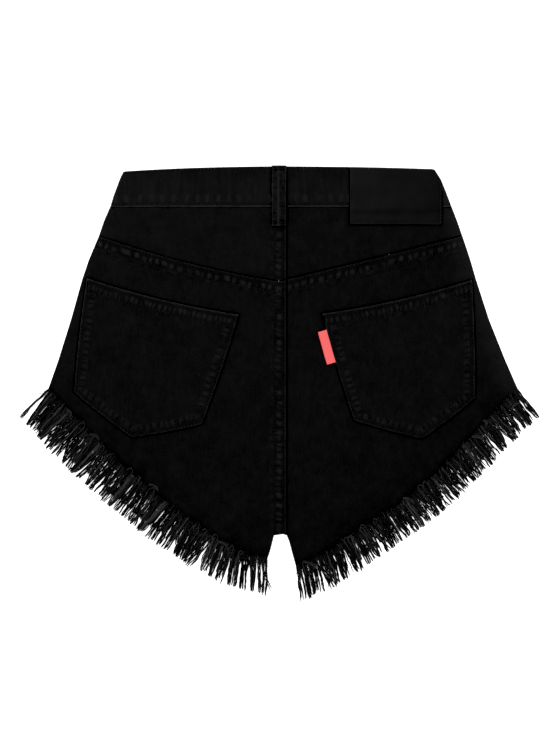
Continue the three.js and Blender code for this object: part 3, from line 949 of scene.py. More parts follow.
def ribbon_weave():
    """Coral woven polyester ribbon, with fine ribs 0.5 mm apart across its length. Its two
    attributes hold the place on the ribbon in millimetres: along it and out from the seam."""
    material, tree = new_material("coral_woven_ribbon")
    along = add(tree, "Attribute", attribute_name="fade").outputs["Fac"]
    out = add(tree, "Attribute", attribute_name="shelter").outputs["Fac"]
    cloth_place = add(tree, "CombineXYZ", {"X": along, "Y": out}).outputs["Vector"]
    ribs = add(
        tree,
        "TexWave",
        {"Vector": cloth_place, "Scale": WAVE / 0.5, "Distortion": 0.3},
        bands_direction="X",
    )
    ends = add(
        tree,
        "TexWave",
        {"Vector": cloth_place, "Scale": WAVE / 0.4, "Distortion": 0.2},
        bands_direction="Y",
    )
    crossed = {0: ribs.outputs["Fac"], 1: ends.outputs["Fac"]}
    woven = add(tree, "Math", crossed, operation="MULTIPLY")
    tone = add(
        tree,
        "Mix",
        {"Factor": woven.outputs["Value"], "A": linear("#cf4849"), "B": linear("#e26362")},
        data_type="RGBA",
    )
    bump = add(
        tree,
        "Bump",
        {"Height": woven.outputs["Value"], "Distance": 0.1 * MM, "Strength": 0.5},
    )
    shader = add(
        tree,
        "BsdfPrincipled",
        {
            "Base Color": tone.outputs["Result"],
            "Normal": bump.outputs["Normal"],
            "Roughness": 0.55,
            "Sheen Weight": 0.1,
        },
    )
    add(tree, "OutputMaterial", {"Surface": shader.outputs["BSDF"]})
    return material


def plated_brass():
    """Brass with a dark plating, mottled lighter and darker in soft patches; the plating brushed thin on the raised
    ring is not drawn.
    """
    material, tree = new_material("dark_plated_brass")
    place = add(tree, "TexCoord").outputs["Object"]
    cloud = add(tree, "TexNoise", {"Vector": place, "Scale": per_mm(3), "Detail": 4.0})
    tone = add(
        tree,
        "Mix",
        {"Factor": cloud.outputs["Fac"], "A": linear("#4a4844"), "B": linear("#6d6a63")},
        data_type="RGBA",
    )
    shader = add(
        tree,
        "BsdfPrincipled",
        {"Base Color": tone.outputs["Result"], "Metallic": 1.0, "Roughness": 0.38},
    )
    add(tree, "OutputMaterial", {"Surface": shader.outputs["BSDF"]})
    return material


def plain_floor():
    """A seamless white paper floor on a light table, lit to full white."""
    material, tree = new_material("white_paper")
    shader = add(
        tree,
        "BsdfPrincipled",
        {
            "Base Color": linear("#f4f4f4"),
            "Roughness": 1.0,
            "Specular IOR Level": 0.0,
            "Emission Color": linear("#ffffff"),
            "Emission Strength": 0.5,
        },
    )
    add(tree, "OutputMaterial", {"Surface": shader.outputs["BSDF"]})
    return material


DENIM = washed_denim()
THREAD = sewing_thread()
YARNS = [
    yarn_material("black_yarn", "#1e1e1e"),
    yarn_material("faded_yarn", "#2b2b2b"),
    yarn_material("grey_yarn", "#464646"),
]

# Back panels, yokes and fronts


def inner_back_edge(side, top):
    crotch = [(SEAM_EDGE, CROTCH_Y)] if side == "left" else []
    return track([HEMS[side][0], *INSIDE_LEGS[side], *crotch, top])


def leg_distance(side, x, y):
    """How far a place is from the inside leg seam, where it is below the crotch."""
    if y > CROTCH_Y + 12:
        return FAR
    rows = [HEMS[side][0], *INSIDE_LEGS[side]]
    nearest = FAR
    for a, b in zip(rows, rows[1:]):
        start, run = Vector(a), Vector(b) - Vector(a)
        t = clamp((Vector((x, y)) - start).dot(run) / run.length_squared)
        nearest = min(nearest, (start + run * t - Vector((x, y))).length)
    return nearest


def closed_side(x, y, side):
    """Lets the back down onto the front beside the side seam and the inside leg seam."""
    from_seam = min(in_from_side(x, y), leg_distance(side, x, y))
    lower = (GAP + puff(x, y) - 0.06) * (1 - smooth(from_seam, 0, 7))
    return lower + fold_drop(from_seam, 1.0), from_seam


def back_surface(side):
    edges = POCKET_EDGES[side]
    corner, down, out = tab_frame()

    def surface(x, y):
        from_yoke, from_centre = yoke_distance(x, y), SEAM_EDGE - x
        hem_below = above_hem(x, y)
        z = back_over(x, y) + 0.5 * wander(x, y, 48, 1) * smooth(from_yoke, 0, 30)
        z += 0.15 * wander(x, y, 9, 2)
        lowered, from_seam = closed_side(x, y, side)
        z -= lowered
        # Lighter towards the side edge: partly wear, partly painted highlight.
        fade = TONES["panel"][side] + TONES["side"][side] * (1 - smooth(in_from_side(x, y), 0, 26))
        # The side seam's edge wear, and painted shade that darkens the cloth towards the hem, most in its last 9 mm.
        fade += 0.3 * edge_wear(from_seam, y, 33) - 0.04 * (1 - smooth(hem_below, 0, 34))
        fade -= 0.06 * (1 - smooth(hem_below, 0, 9))
        # The felled yoke seam: pucker crests worn paler, painted shade over the strip and in its grooves, and the
        # folded edge worn paler.
        raised, worn_and_shaded = seam_relief(from_yoke, abs(x), FELL_ROWS, 3 + SIGN[side])
        fell = smooth(from_yoke, 30, 20)
        z += raised * fell - fold_drop(from_yoke, 0.8)
        fade += 0.42 * worn_and_shaded * fell + 0.65 * edge_wear(from_yoke, x, 5)
        # Painted shadows: the distance to the edges that cast them, the left panel's felled centre seam, the pocket
        # and the ribbon tab.
        shelter = FAR
        if side == "left":
            raised, worn_and_shaded = seam_relief(from_centre, y + 0.3 * x, CENTRE_ROWS, 9, 6.4)
            near = smooth(from_centre, 24, 16) * smooth(from_yoke, 2, 12)
            z += raised * near - fold_drop(from_centre, 0.8)
            fade += 0.38 * worn_and_shaded * near + 0.6 * edge_wear(from_centre, y, 6)
        else:
            shelter = x - SEAM_EDGE
        shelter = min(shelter, max(0.0, -depth_in(edges, x, y)))
        if side == "right":
            step = Vector((x, y)) - corner
            along, away = step.dot(down), step.dot(out)
            beside = max(-along, along - TAB["length"], away - TAB["width"], 0.0)
            shelter = min(shelter, beside if away > -1 else FAR)
        return z, fade, shelter

    return surface


def back_panel(side, on_it):
    seam_x = SEAM_EDGE if side == "left" else SEAM_EDGE + GAP

    def top(t):
        x = lerp(seam_x, YOKE_REACH[side], t)
        return x, yoke_y(x) - GAP / 2

    inner = inner_back_edge(side, top(0))
    outer = side_line(side, HEMS[side][-1][1], top(1)[1])
    plan = half_plan(side, inner, outer, HEM_TRACKS[side], top)
    columns, rows = stops([0, 196], 1.3, CLOSE), stops(inner.marks, 1.75, CLOSE)
    place = over_plan(plan, back_surface(side))
    piece = cloth("back_panel_cloth_" + side, columns, rows, place, DENIM, CLOTH)
    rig.replaces(piece, "back_panel_" + side)
    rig.slot(piece, "black_denim")
    below = ["front_panel_cloth_" + side]
    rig.sheet(piece, held="laid", rests_on=below, with_pieces=on_it, **flat_cut(plan))


def yoke_surface(side):
    def surface(x, y):
        from_yoke, from_band = -yoke_distance(x, y), BAND_BOTTOM - y
        from_centre = SEAM_EDGE - x
        z = yoke_over(x, y) + 0.3 * wander(x, y, 38, 5) + 0.15 * wander(x, y, 8, 6)
        lowered, from_seam = closed_side(x, y, side)
        z -= lowered + 0.3 * bell(from_yoke, 1.6) + 0.15 * bell(from_band, 1.8)
        # Lighter towards the side edge: partly wear, partly painted highlight.
        fade = TONES["yoke"][side] + TONES["side"][side] * (1 - smooth(from_seam, 0, 20))
        fade += 0.3 * edge_wear(from_seam, y, 33) + 0.03 * wander(x, 1.5 * y, 16, 7)
        # Painted shadows under the panel's felled edge, weaker on the left, under the waistband, beside the centre
        # seam and beside the back loop.
        shelter = min(from_yoke + (1.2 if side == "left" else 0), from_band + 1.3)
        if side == "left":
            raised, worn_and_shaded = seam_relief(from_centre, y + 0.3 * x, CENTRE_ROWS, 9, 6.4)
            near = smooth(from_centre, 24, 16)
            z += raised * near - fold_drop(from_centre, 0.8)
            fade += 0.38 * worn_and_shaded * near + 0.6 * edge_wear(from_centre, y, 6)
        else:
            shelter = min(shelter, x - SEAM_EDGE)
        return z, fade, min(shelter, beside_loop(x, y))

    return surface


def yoke(side):
    seam_x = SEAM_EDGE if side == "left" else SEAM_EDGE + GAP
    top_y = BAND_BOTTOM + TUCK

    def bottom(t):
        x = lerp(seam_x, YOKE_REACH[side], t)
        return x, yoke_y(x) + GAP / 2

    def top(t):
        return lerp(seam_x, side_x(side, top_y), t), top_y

    inner = track([bottom(0), top(0)])
    outer = side_line(side, bottom(1)[1], top_y)
    plan = half_plan(side, inner, outer, bottom, top)
    columns, rows = stops([0, 166], 1.4, CLOSE), stops([0, 70], 1.4, CLOSE)
    place = over_plan(plan, yoke_surface(side))
    piece = cloth("yoke_cloth_" + side, columns, rows, place, DENIM, CLOTH)
    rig.replaces(piece, "yoke_" + side)
    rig.slot(piece, "black_denim")
    below = ["front_panel_cloth_" + side, "pocket_facing_cloth_" + side]
    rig.sheet(piece, held="laid", rests_on=below, **flat_cut(plan))


def scoop(side, away=0.0):
    top_x = SIGN[side] * SCOOP["top_x"]
    top = (top_x, front_band_bottom(top_x) - GAP)
    end = (side_x(side, SCOOP["side_y"]), SCOOP["side_y"])

    def at(t):
        cos, sin = math.cos(t * math.pi / 2), math.sin(t * math.pi / 2)
        x = lerp(end[0], top[0], cos) + SIGN[side] * away * cos
        return x, lerp(top[1], end[1], sin) + away * sin

    return at


def front_waist(start, end, over=-GAP):
    return lambda t: (lerp(start, end, t), front_band_bottom(lerp(start, end, t)) + over)


def flipped(place):
    """A surface that faces down: the same grid seen from below."""
    return lambda u, v: place(1 - u, v)


def front_surface(side):
    opening = [scoop(side)(k / 40) for k in range(41)]

    def surface(x, y):
        from_seam = min(in_from_side(x, y), leg_distance(side, x, y))
        from_centre = abs(x)
        z = front_under(x, y) + 0.6 * fold_drop(from_seam, 1.0)
        z += fold_drop(from_centre, 0.5) + 0.1
        fade = TONES["front"] + 0.05 * (1 - smooth(from_seam, 0, 24))
        # Pucker crests worn paler, with painted shade over the strips and in the stitch grooves.
        raised, worn_and_shaded = seam_relief(from_centre, y, (1.6, 9), 21, 8.0, 0.25)
        near = smooth(from_centre, 24, 14)
        z -= 0.4 * raised * near
        fade += 0.4 * worn_and_shaded * near + 0.5 * edge_wear(from_centre, y, 22)
        if abs(x) > abs(opening[0][0]) - 22 and y > SCOOP["side_y"] - 22:
            away, k = min((math.dist((x, y), point), k) for k, point in enumerate(opening))
            raised, worn_and_shaded = seam_relief(away, 3 * k, FELL_ROWS, 23, 8.0, 0.25)
            z += fold_drop(away, 0.6) - 0.4 * raised
            fade += 0.4 * worn_and_shaded + 0.5 * edge_wear(away, 3 * k, 24)
        return max(0.0, z), fade, FAR

    return surface


def front_panel(side, on_it):
    seam_x = 0 if side == "left" else GAP
    split = 5 / 12
    waist = front_waist(seam_x, SIGN[side] * SCOOP["top_x"])
    opening = scoop(side)

    def top(t):
        return waist(t / split) if t < split else opening((t - split) / (1 - split))

    inner = track([HEMS[side][0], *INSIDE_LEGS[side], (seam_x, CROTCH_Y), waist(0)])
    outer = side_line(side, HEMS[side][-1][1], SCOOP["side_y"])
    plan = half_plan(side, inner, outer, front_hem(side), top)
    columns, rows = stops([0, 84, 200], 3.2, CLOSE), stops(inner.marks, 3.6, CLOSE)
    place = flipped(over_plan(plan, front_surface(side)))
    columns = [1 - u for u in reversed(columns)]
    piece = cloth("front_panel_cloth_" + side, columns, rows, place, DENIM, CLOTH - 0.1)
    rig.replaces(piece, "front_panel_" + side)
    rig.slot(piece, "black_denim")
    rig.sheet(piece, held="laid", with_pieces=on_it, **flat_cut(plan))


def pocket_facing(side):
    bottom = scoop(side, GAP)
    corner_x = side_x(side, BAND_BOTTOM + TUCK)
    top = front_waist(bottom(0)[0], corner_x, TUCK)
    inner = track([bottom(0), top(0)])
    outer = side_line(side, bottom(1)[1], top(1)[1])
    plan = half_plan(side, inner, outer, bottom, top)

    def surface(x, y):
        z = front_under(x, y) + SCOOP["set_back"]
        return z + 0.1 * wander(x, y, 12, 31), TONES["front"], FAR

    columns, rows = stops([0, 80], 4), stops([0, 60], 4)
    place = flipped(over_plan(plan, surface))
    piece = cloth("pocket_facing_cloth_" + side, columns, rows, place, DENIM, CLOTH)
    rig.replaces(piece, "pocket_facing_" + side)
    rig.slot(piece, "black_denim")
    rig.sheet(piece, held="laid", rests_on=["front_panel_cloth_" + side], **flat_cut(plan))


# Back pockets


def pocket_surface(side):
    edges = POCKET_EDGES[side]
    top_edge = edges[POCKET_ORDER[side].index("top")]
    seams = [edge for edge in edges if edge is not top_edge]
    corners = [Vector(POCKETS[side][name]) for name in ("top_inner", "top_outer")]
    seed = 17 + SIGN[side]

    def surface(x, y):
        below_top, run = inside(top_edge, x, y), along_edge(top_edge, x, y)
        from_side, seam = min((inside(edge, x, y), k) for k, edge in enumerate(seams))
        along = along_edge(seams[seam], x, y) + 170 * seam
        past_hem = smooth(below_top, 9, 16)
        hem = POCKET_HEM["height"] * smooth(POCKET_HEM["width"] - below_top, -FELL["edge"], 0)
        # The hem: pucker crests worn paler, with painted shade over the strip and in the stitch grooves.
        raised, worn_and_shaded = seam_relief(below_top, run, HEM_ROWS, seed - 4, 4.8, 0.35)
        z = back_over(x, y) + GAP + CLOTH + hem + raised
        z += 0.3 * wander(x, y, 30, 11) + 0.15 * wander(x, y, 8, 12)
        fade = TONES["pocket"][side] + 0.34 * worn_and_shaded
        lump = puckers(from_side, along, 3.6, 11.6, 6.1, seed)
        groove = bell(from_side - POCKET_ROWS[0], 0.8) + bell(from_side - POCKET_ROWS[1], 0.7)
        step = 0.3 * (1 - smooth(from_side, 11, 12.5))
        z += (0.4 * lump + step - 0.14 * groove) * past_hem
        # Pucker crests worn paler, and painted shade in the stitch grooves and along the second row.
        fade += (0.26 * lump - 0.04 * groove - 0.04 * bell(from_side - 7, 3)) * past_hem
        z -= fold_drop(min(below_top, from_side), 0.9)
        fade += 0.8 * edge_wear(0.75 * below_top, run, seed + 5)
        fade += 0.8 * edge_wear(from_side, along, seed + 6)
        fade += 1.1 * bell(min((Vector((x, y)) - c).length for c in corners), 1.8)
        return z, fade, FAR

    return surface


def pocket_edge(side, start, end, kind):
    """An edge of a pocket from one corner to another, bowed away from its middle."""
    a, b = Vector(POCKETS[side][start]), Vector(POCKETS[side][end])
    out = Vector((b.y - a.y, a.x - b.x)).normalized()
    tip, top = POCKETS[side]["tip"], POCKETS[side]["top_inner"]
    if out.dot(a - Vector((tip[0], (tip[1] + top[1]) / 2))) < 0:
        out.negate()
    return lambda t: tuple(a.lerp(b, t) + out * 4 * POCKET_BOWS[kind] * t * (1 - t))


def pocket(side, on_it):
    to_tip = pocket_edge(side, "low_inner", "tip", "low")
    from_tip = pocket_edge(side, "tip", "low_outer", "low")
    plan = half_plan(
        side,
        pocket_edge(side, "low_inner", "top_inner", "inner"),
        pocket_edge(side, "low_outer", "top_outer", "outer"),
        lambda t: to_tip(2 * t) if t < 0.5 else from_tip(2 * t - 1),
        pocket_edge(side, "top_inner", "top_outer", "top"),
    )
    columns, rows = stops([0, 68, 136], 1.25, CLOSE), stops([0, 114], 1.25, CLOSE)
    place = over_plan(plan, pocket_surface(side))
    piece = cloth("back_pocket_cloth_" + side, columns, rows, place, DENIM, CLOTH + 0.2)
    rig.replaces(piece, "back_pocket_" + side)
    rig.slot(piece, "black_denim")
    below = ["back_panel_cloth_" + side]
    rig.sheet(piece, held="laid", rests_on=below, with_pieces=on_it, **flat_cut(plan))


# Waistband, loops, patch, tab and button


FRONT_RUN = 96


def band_stations():
    """Places along the waistband, seen from outside and followed to the right, from its
    under end at the centre front to its over end: share of the half width, front or
    back from 0 to 1, and how far round a side fold."""
    overlap, fold, turns = 0.14, 0.985, 8

    def flat(start, end, count, back):
        return [(lerp(start, end, k / count), back, 0) for k in range(count + 1)]

    bend = [k / turns for k in range(1, turns)]
    return (
        flat(overlap, -fold, FRONT_RUN, 0)
        + [(-1, turn, turn) for turn in bend]
        + flat(-fold, fold, 224, 1)
        + [(1, 1 - turn, turn) for turn in bend]
        + flat(fold, -overlap, FRONT_RUN, 0)
    )


def waistband(on_it):
    stations = band_stations()
    under_run = FRONT_RUN + 1

    def spine(i, v):
        share, back, turn = stations[i]
        level = lerp(BAND_BOTTOM, band_top(share), v)
        bulge = BAND / 2 + 1.3 * (1 - math.sin(math.pi * turn)) if turn else 0
        x = share * abs(side_x(side_of(share), level)) - math.copysign(bulge, share)
        y = level - dip_at(share) * (1 - back)
        z = lerp(front_under(x, y), back_under(x, y), back) + CLOTH / 2
        if i < under_run:
            z += (BAND + GAP) * smooth(share, -0.42, -0.17)
        return Vector((x, y, z))

    last = len(stations) - 1

    def place(u, v):
        i = round(u * last)
        share, back, _ = stations[i]
        point = spine(i, v)
        step = spine(min(last, i + 1), v) - spine(max(0, i - 1), v)
        out = Vector((-step.z, 0, step.x)).normalized()
        width = band_top(share) - BAND_BOTTOM
        up, down = v * width, (1 - v) * width
        x, y, _ = point
        groove = bell(up - BAND_ROW, 0.8) + bell(down - BAND_ROW, 0.8)
        spots = puckers(up, x, 3.2, 13, 10.5, 25 + back, 0.55)
        streaks = wander(x, 0.12 * up, 3.2, 28 + back)
        raised = 0.45 * spots + 0.16 * wander(x, 3 * up, 30, 26 + back) - 0.18 * groove
        raised -= fold_drop(down, 1.1) + fold_drop(up, 0.8)
        # Pucker spots worn paler, streaks in the cloth, and painted shade in the stitch grooves.
        fade = TONES["band"] + 0.2 * spots + 0.07 * streaks - 0.05 * groove
        fade += 1.2 * edge_wear(0.7 * up, x, 27) + 0.3 * edge_wear(down, x, 29)
        fade += 0.04 * (1 - smooth(up, 20, 34))
        # Lighter towards the side folds: partly wear, partly painted highlight.
        fade += TONES["side"][side_of(x)] * (1 - smooth(in_from_side(x, y), 0, 22))
        # Painted shadow beside the back loop, on the back only.
        shelter = beside_loop(x, y) if back == 1 else FAR
        return point + out * (BAND / 2 + raised), fade, shelter

    columns = [k / last for k in range(last + 1)]
    rows = stops([0, 38], 1.35, CLOSE)
    piece = cloth("waistband_cloth", columns, rows, place, DENIM, BAND)
    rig.replaces(piece, "waistband")
    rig.slot(piece, "black_denim")
    below = ["yoke_cloth_left", "yoke_cloth_right"]
    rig.sheet(piece, flat=(0.678, 0.0386), held="laid", rests_on=below, with_pieces=on_it)


def loop_piece(name, node, spec, under, facing, below, on_it=()):
    """A belt loop: tape folded in three, stitched down both long sides. facing is 1 for one
    that faces up and -1 for one that faces down."""
    centre, width, top, bottom = spec["x"], spec["width"], spec["top"], spec["bottom"]
    outer, thickness = (LOOP, LOOP - 0.1) if facing > 0 else (0.4, LOOP - 0.45)

    def place(u, v):
        x, y = centre + (u - 0.5) * width, lerp(bottom, top, v)
        across, along = min(u, 1 - u) * width, min(v, 1 - v) * (top - bottom)
        ridge = bell(x - centre + 0.7, 1.0) * lerp(1.25, 0.75, v)
        z = 0.22 * bell(across - 3.1, 0.7) + fold_drop(across, 0.7) + fold_drop(along, 0.9)
        z += 0.35 * bell(along - 3.4, 1.3) - 0.15 * wander(x, y, 6, 41) - 0.2 * ridge
        # Paler along the folded edges and the ridge of the tape, most near its bottom, and darker just inside the bar
        # tacks.
        fade = TONES["loop"] + 0.6 * edge_wear(0.75 * across, y + 40 * round(u), 43)
        fade += 0.6 * edge_wear(along, x, 44) + 0.36 * ridge
        fade += 0.2 * wander(x, y, 3, 45) - 0.1 * bell(along - 4.2, 1.0)
        return Vector((x, y, under(x, y) + outer - facing * z)), fade, FAR

    columns, rows = stops([0, width], 0.8, CLOSE[:2]), stops([0, top - bottom], 1.2, CLOSE)
    if facing < 0:
        place = flipped(place)
    piece = cloth(name, columns, rows, place, DENIM, thickness)
    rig.replaces(piece, node)
    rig.slot(piece, "black_denim")
    size = (width * MM, (top - bottom) * MM)
    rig.sheet(piece, flat=size, held="laid", rests_on=below, with_pieces=on_it)


def on_the_floor(x, y):
    return 0.0


def back_loop_under(x, y):
    share = (y - BACK_LOOP["bottom"]) / (BACK_LOOP["top"] - BACK_LOOP["bottom"])
    return waist_over(0, y) + GAP + BACK_LOOP["slack"] * math.sin(math.pi * clamp(share)) ** 2


def label_patch(leather, on_it):
    def plan(u, v):
        share = lerp(PATCH["left"], PATCH["right"], u) / side_x("right", BAND_TOP["right"])
        y = lerp(PATCH["bottom"], band_top(share) - PATCH["margin"], v)
        right = min(PATCH["right"], side_x("right", y) - PATCH["margin"])
        return lerp(PATCH["left"], right, u), y

    def place(u, v):
        x, y = plan(u, v)
        right = plan(1, v)[0]
        from_left, up, down = x - PATCH["left"], v * PATCH["height"], (1 - v) * PATCH["height"]
        edge = min(from_left, right - x, up, down)
        z = waist_over(x, y) + GAP + LEATHER - fold_drop(edge, 1.1)
        z += 0.25 * wander(x, y, 22, 51) - 0.1 * bell(edge - PATCH_ROW, 0.7)
        edge_line = edge_wear(min(from_left, up), x + y, 52)
        return Vector((x, y, z)), edge_line, FAR

    columns, rows = stops([0, 87], 1.4, CLOSE), stops([0, PATCH["height"]], 1.4, CLOSE)
    piece = cloth("label_patch_leather", columns, rows, place, leather, LEATHER + 0.15)
    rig.replaces(piece, "label_patch")
    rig.slot(piece, "black_leather")
    below = ["waistband_cloth", "yoke_cloth_right"]
    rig.sheet(piece, held="laid", rests_on=below, with_pieces=on_it, **flat_cut(plan))


def ribbon_tab(ribbon):
    """A short ribbon folded once lengthwise over its own middle, with both ends caught in
    the seam at the pocket's edge."""
    corner, down, out = tab_frame()
    reach = math.dist(POCKETS["right"]["top_inner"], POCKETS["right"]["low_inner"])

    def place(u, v):
        along = TAB["length"] * (1 - v)
        turn = clamp((u - 0.47) / 0.06)
        away = TAB["width"] * (u / 0.47 if u < 0.5 else (1 - u) / 0.47)
        away = min(away, TAB["width"]) - 0.35 + 0.4 * math.sin(math.pi * turn)
        share = (TAB["drop"] + along) / reach
        away_now = away + 4 * POCKET_BOWS["inner"] * share * (1 - share)
        point = corner + down * along + out * (away_now + 0.12 * wander(along, u, 9, 61))
        base = back_over(point.x, point.y) + GAP
        lift = lerp(0.3, RIBBON - 0.05, 1 - turn)
        lift += 0.35 * math.sin(math.pi * clamp(away / 8)) * (u < 0.5)
        return Vector((point.x, point.y, base + lift)), along, away

    columns = [k / 60 for k in range(61)]
    piece = cloth("ribbon_tab_cloth", columns, stops([0, 32], 0.5), place, ribbon, 0.28)
    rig.replaces(piece, "ribbon_tab")
    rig.slot(piece, "coral_ribbon")
    flat = (2 * TAB["width"] * MM, TAB["length"] * MM)
    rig.sheet(piece, flat=flat, held="folded", rests_on=["back_panel_cloth_right"])


def button(metal):
    """A domed cap with a raised rim and a plain ring, spun from its profile."""
    radius, cap, dish = BUTTON["radius"], BUTTON["cap"], BUTTON["dish"]
    profile = [
        (0, dish),
        (radius * 0.3, dish - 0.1),
        (radius * 0.36, dish - 0.22),
        (radius * 0.42, dish - 0.1),
        (radius * 0.6, dish),
        (radius * 0.7, 0.05),
        (radius * 0.8, 0),
        (radius * 0.9, 0.05),
        (radius * 0.98, cap * 0.28),
        (radius, cap * 0.5),
        (radius * 0.98, cap * 0.8),
        (radius * 0.9, cap),
        (0, cap),
    ]
    bm = bmesh.new()
    line = [bm.verts.new((r, 0, z)) for r, z in profile]
    for a, b in zip(line, line[1:]):
        bm.edges.new((a, b))
    bmesh.ops.spin(
        bm,
        geom=bm.verts[:] + bm.edges[:],
        axis=(0, 0, 1),
        cent=(0, 0, 0),
        angle=math.tau,
        steps=48,
        use_merge=True,
    )
    bmesh.ops.remove_doubles(bm, verts=bm.verts, dist=1e-4)
    bmesh.ops.recalc_face_normals(bm, faces=bm.faces)
    bmesh.ops.translate(bm, vec=(0, BUTTON["y"], 0), verts=bm.verts)
    piece = finish("button_cap", bm, metal)
    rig.replaces(piece, "button")
    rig.slot(piece, "dark_metal")


# Stitches


def stitch_row(bm, line, height, spec=STITCH):
    """Stitches end to end along a plan line, half sunk in the cloth."""
    count = max(1, round(line.length / spec["pitch"]))
    for k in range(count):
        here = line((k + 0.5) / count)
        ahead, behind = line((k + 0.75) / count), line((k + 0.25) / count)
        turn = math.atan2(ahead[1] - behind[1], ahead[0] - behind[0])
        rise, run = height(*ahead) - height(*behind), math.dist(ahead, behind)
        tilt = math.atan2(rise, run or 1.0)
        z = height(*here) + 0.05
        place = (
            Matrix.Translation((here[0], here[1], z))
            @ Matrix.Rotation(turn, 4, "Z")
            @ Matrix.Rotation(-tilt, 4, "Y")
            @ Matrix.Diagonal((spec["length"], spec["width"], 0.5, 1))
        )
        bmesh.ops.create_uvsphere(bm, u_segments=6, v_segments=4, radius=0.5, matrix=place)


def bar_tack(bm, start, end, height):
    """A short dense bar of stitches that lie across its line."""
    start, end = Vector(start), Vector(end)
    run = (end - start).normalized()
    across = Vector((-run.y, run.x)) * (TACK["length"] / 2)
    count = round((end - start).length / TACK_STEP)
    for k in range(count + 1):
        middle = start.lerp(end, k / count)
        short = track([middle - across, middle + across])
        stitch_row(bm, short, lambda x, y: height(x, y) + 0.15, TACK)


def inset_line(edges, inset, kept):
    """Lines inside an outline, each an inset in from its edge, bowed as it is and trimmed
    by its neighbours' lines."""
    lines = []
    for k in kept:
        start, run, length, bow = edges[k]
        normal = Vector((-run.y, run.x))
        ends = []
        for point, other in ((start, edges[k - 1]), (start + run * length, edges[(k + 1) % 5])):
            point = point + normal * inset
            gap = (point - other[0]).dot(Vector((-other[1].y, other[1].x))) - inset
            ends.append(point - run * (gap / (other[1].x * run.y - other[1].y * run.x)))
        points = [ends[0].lerp(ends[1], 0.012 + 0.976 * n / 20) for n in range(21)]
        shares = [clamp((point - start).dot(run) / length) for point in points]
        lines.append(track([p - normal * 4 * bow * s * (1 - s) for p, s in zip(points, shares)]))
    return lines


def yoke_row(side, inset):
    seam_x = SEAM_EDGE - 0.6 if side == "left" else SEAM_EDGE + 1.2
    end = YOKE_REACH[side] - SIGN[side] * 1.5
    places = [lerp(seam_x, end, k / 30) for k in range(31)]
    return track([(x, yoke_y(x) - inset / YOKE_COS[side]) for x in places])


def flat_height(surface):
    return lambda x, y: surface(x, y)[0]


def stitches():
    groups = {}
    for side in SIGN:
        bm = groups["yoke_seam_stitches_" + side] = bmesh.new()
        height = flat_height(back_surface(side))
        for inset in FELL_ROWS:
            stitch_row(bm, yoke_row(side, inset), height)
        bm = groups["pocket_stitches_" + side] = bmesh.new()
        height = flat_height(pocket_surface(side))
        top_edge = POCKET_ORDER[side].index("top")
        sewn = [k for k in range(5) if k != top_edge]
        for insets, kept in ((POCKET_ROWS, sewn), (HEM_ROWS, [top_edge])):
            for inset in insets:
                for line in inset_line(POCKET_EDGES[side], inset, kept):
                    stitch_row(bm, line, height)
        for corner, low in (("top_inner", "low_inner"), ("top_outer", "low_outer")):
            top, bottom = Vector(POCKETS[side][corner]), Vector(POCKETS[side][low])
            middle = Vector(POCKETS[side]["tip"])
            start = top.lerp(bottom, 0.012) + (middle - top).normalized() * 1.2
            bar_tack(bm, start, start.lerp(bottom, 0.055), height)
    left_back, left_yoke = flat_height(back_surface("left")), flat_height(yoke_surface("left"))
    bm = groups["centre_seam_stitches"] = bmesh.new()
    for inset in CENTRE_ROWS:
        x = SEAM_EDGE - inset
        stitch_row(bm, track([(x, CROTCH_Y + 1.5), (x, yoke_y(x) - 1.5)]), left_back)
        stitch_row(bm, track([(x, yoke_y(x) + 1), (x, BACK_LOOP["bottom"] - 0.5)]), left_yoke)
    bm = groups["waistband_stitches"] = bmesh.new()

    def band_height(x, y):
        return band_over(x, y) - 0.2

    def band_row(up, down, start, end):
        points = []
        for k in range(41):
            share = lerp(start, end, k / 40)
            y = BAND_BOTTOM + up if up else band_top(share) - down
            points.append((share * abs(side_x(side_of(share), BAND_BOTTOM)), y))
        return track(points)

    loop_share = 9 / side_x("right", BAND_BOTTOM)
    patch_share = PATCH["left"] / side_x("right", BAND_BOTTOM)
    for up, down, reach in ((BAND_ROW, 0, 0.985), (0, BAND_ROW, 0.925)):
        stitch_row(bm, band_row(up, down, -reach, -loop_share), band_height)
        stitch_row(bm, band_row(up, down, loop_share, patch_share), band_height)
    bm = groups["belt_loop_stitches"] = bmesh.new()

    def loop_height(x, y):
        return back_loop_under(x, y) + LOOP - 0.22

    low, high = BACK_LOOP["bottom"] + 2, BACK_LOOP["top"] - 2
    for x in (BACK_LOOP["x"] - 3.8, BACK_LOOP["x"] + 3.8):
        stitch_row(bm, track([(x, low), (x, high)]), loop_height)
    for y in (BACK_LOOP["bottom"] + 3.4, BACK_LOOP["top"] - 3.4):
        bar_tack(bm, (BACK_LOOP["x"] - 5.4, y), (BACK_LOOP["x"] + 5.4, y), loop_height)
    bm = groups["patch_stitches"] = bmesh.new()

    def patch_height(x, y):
        return waist_over(x, y) + GAP + LEATHER - 0.2

    left, right = PATCH["left"] + PATCH_ROW, PATCH["right"] - PATCH_ROW
    low = PATCH["bottom"] + PATCH_ROW
    stitch_row(bm, track([(left, 200), (left, low), (right, low), (right, 184)]), patch_height)
    made = {name: finish(name, bm, THREAD) for name, bm in groups.items()}
    for piece in made.values():
        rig.slot(piece, "denim_yarn")
    return made


# Fringe


def between(values, t):
    """The value at t from 0 to 1 along a row of evenly spaced values."""
    k = min(len(values) - 2, int(t * (len(values) - 1)))
    return lerp(values[k], values[k + 1], t * (len(values) - 1) - k)


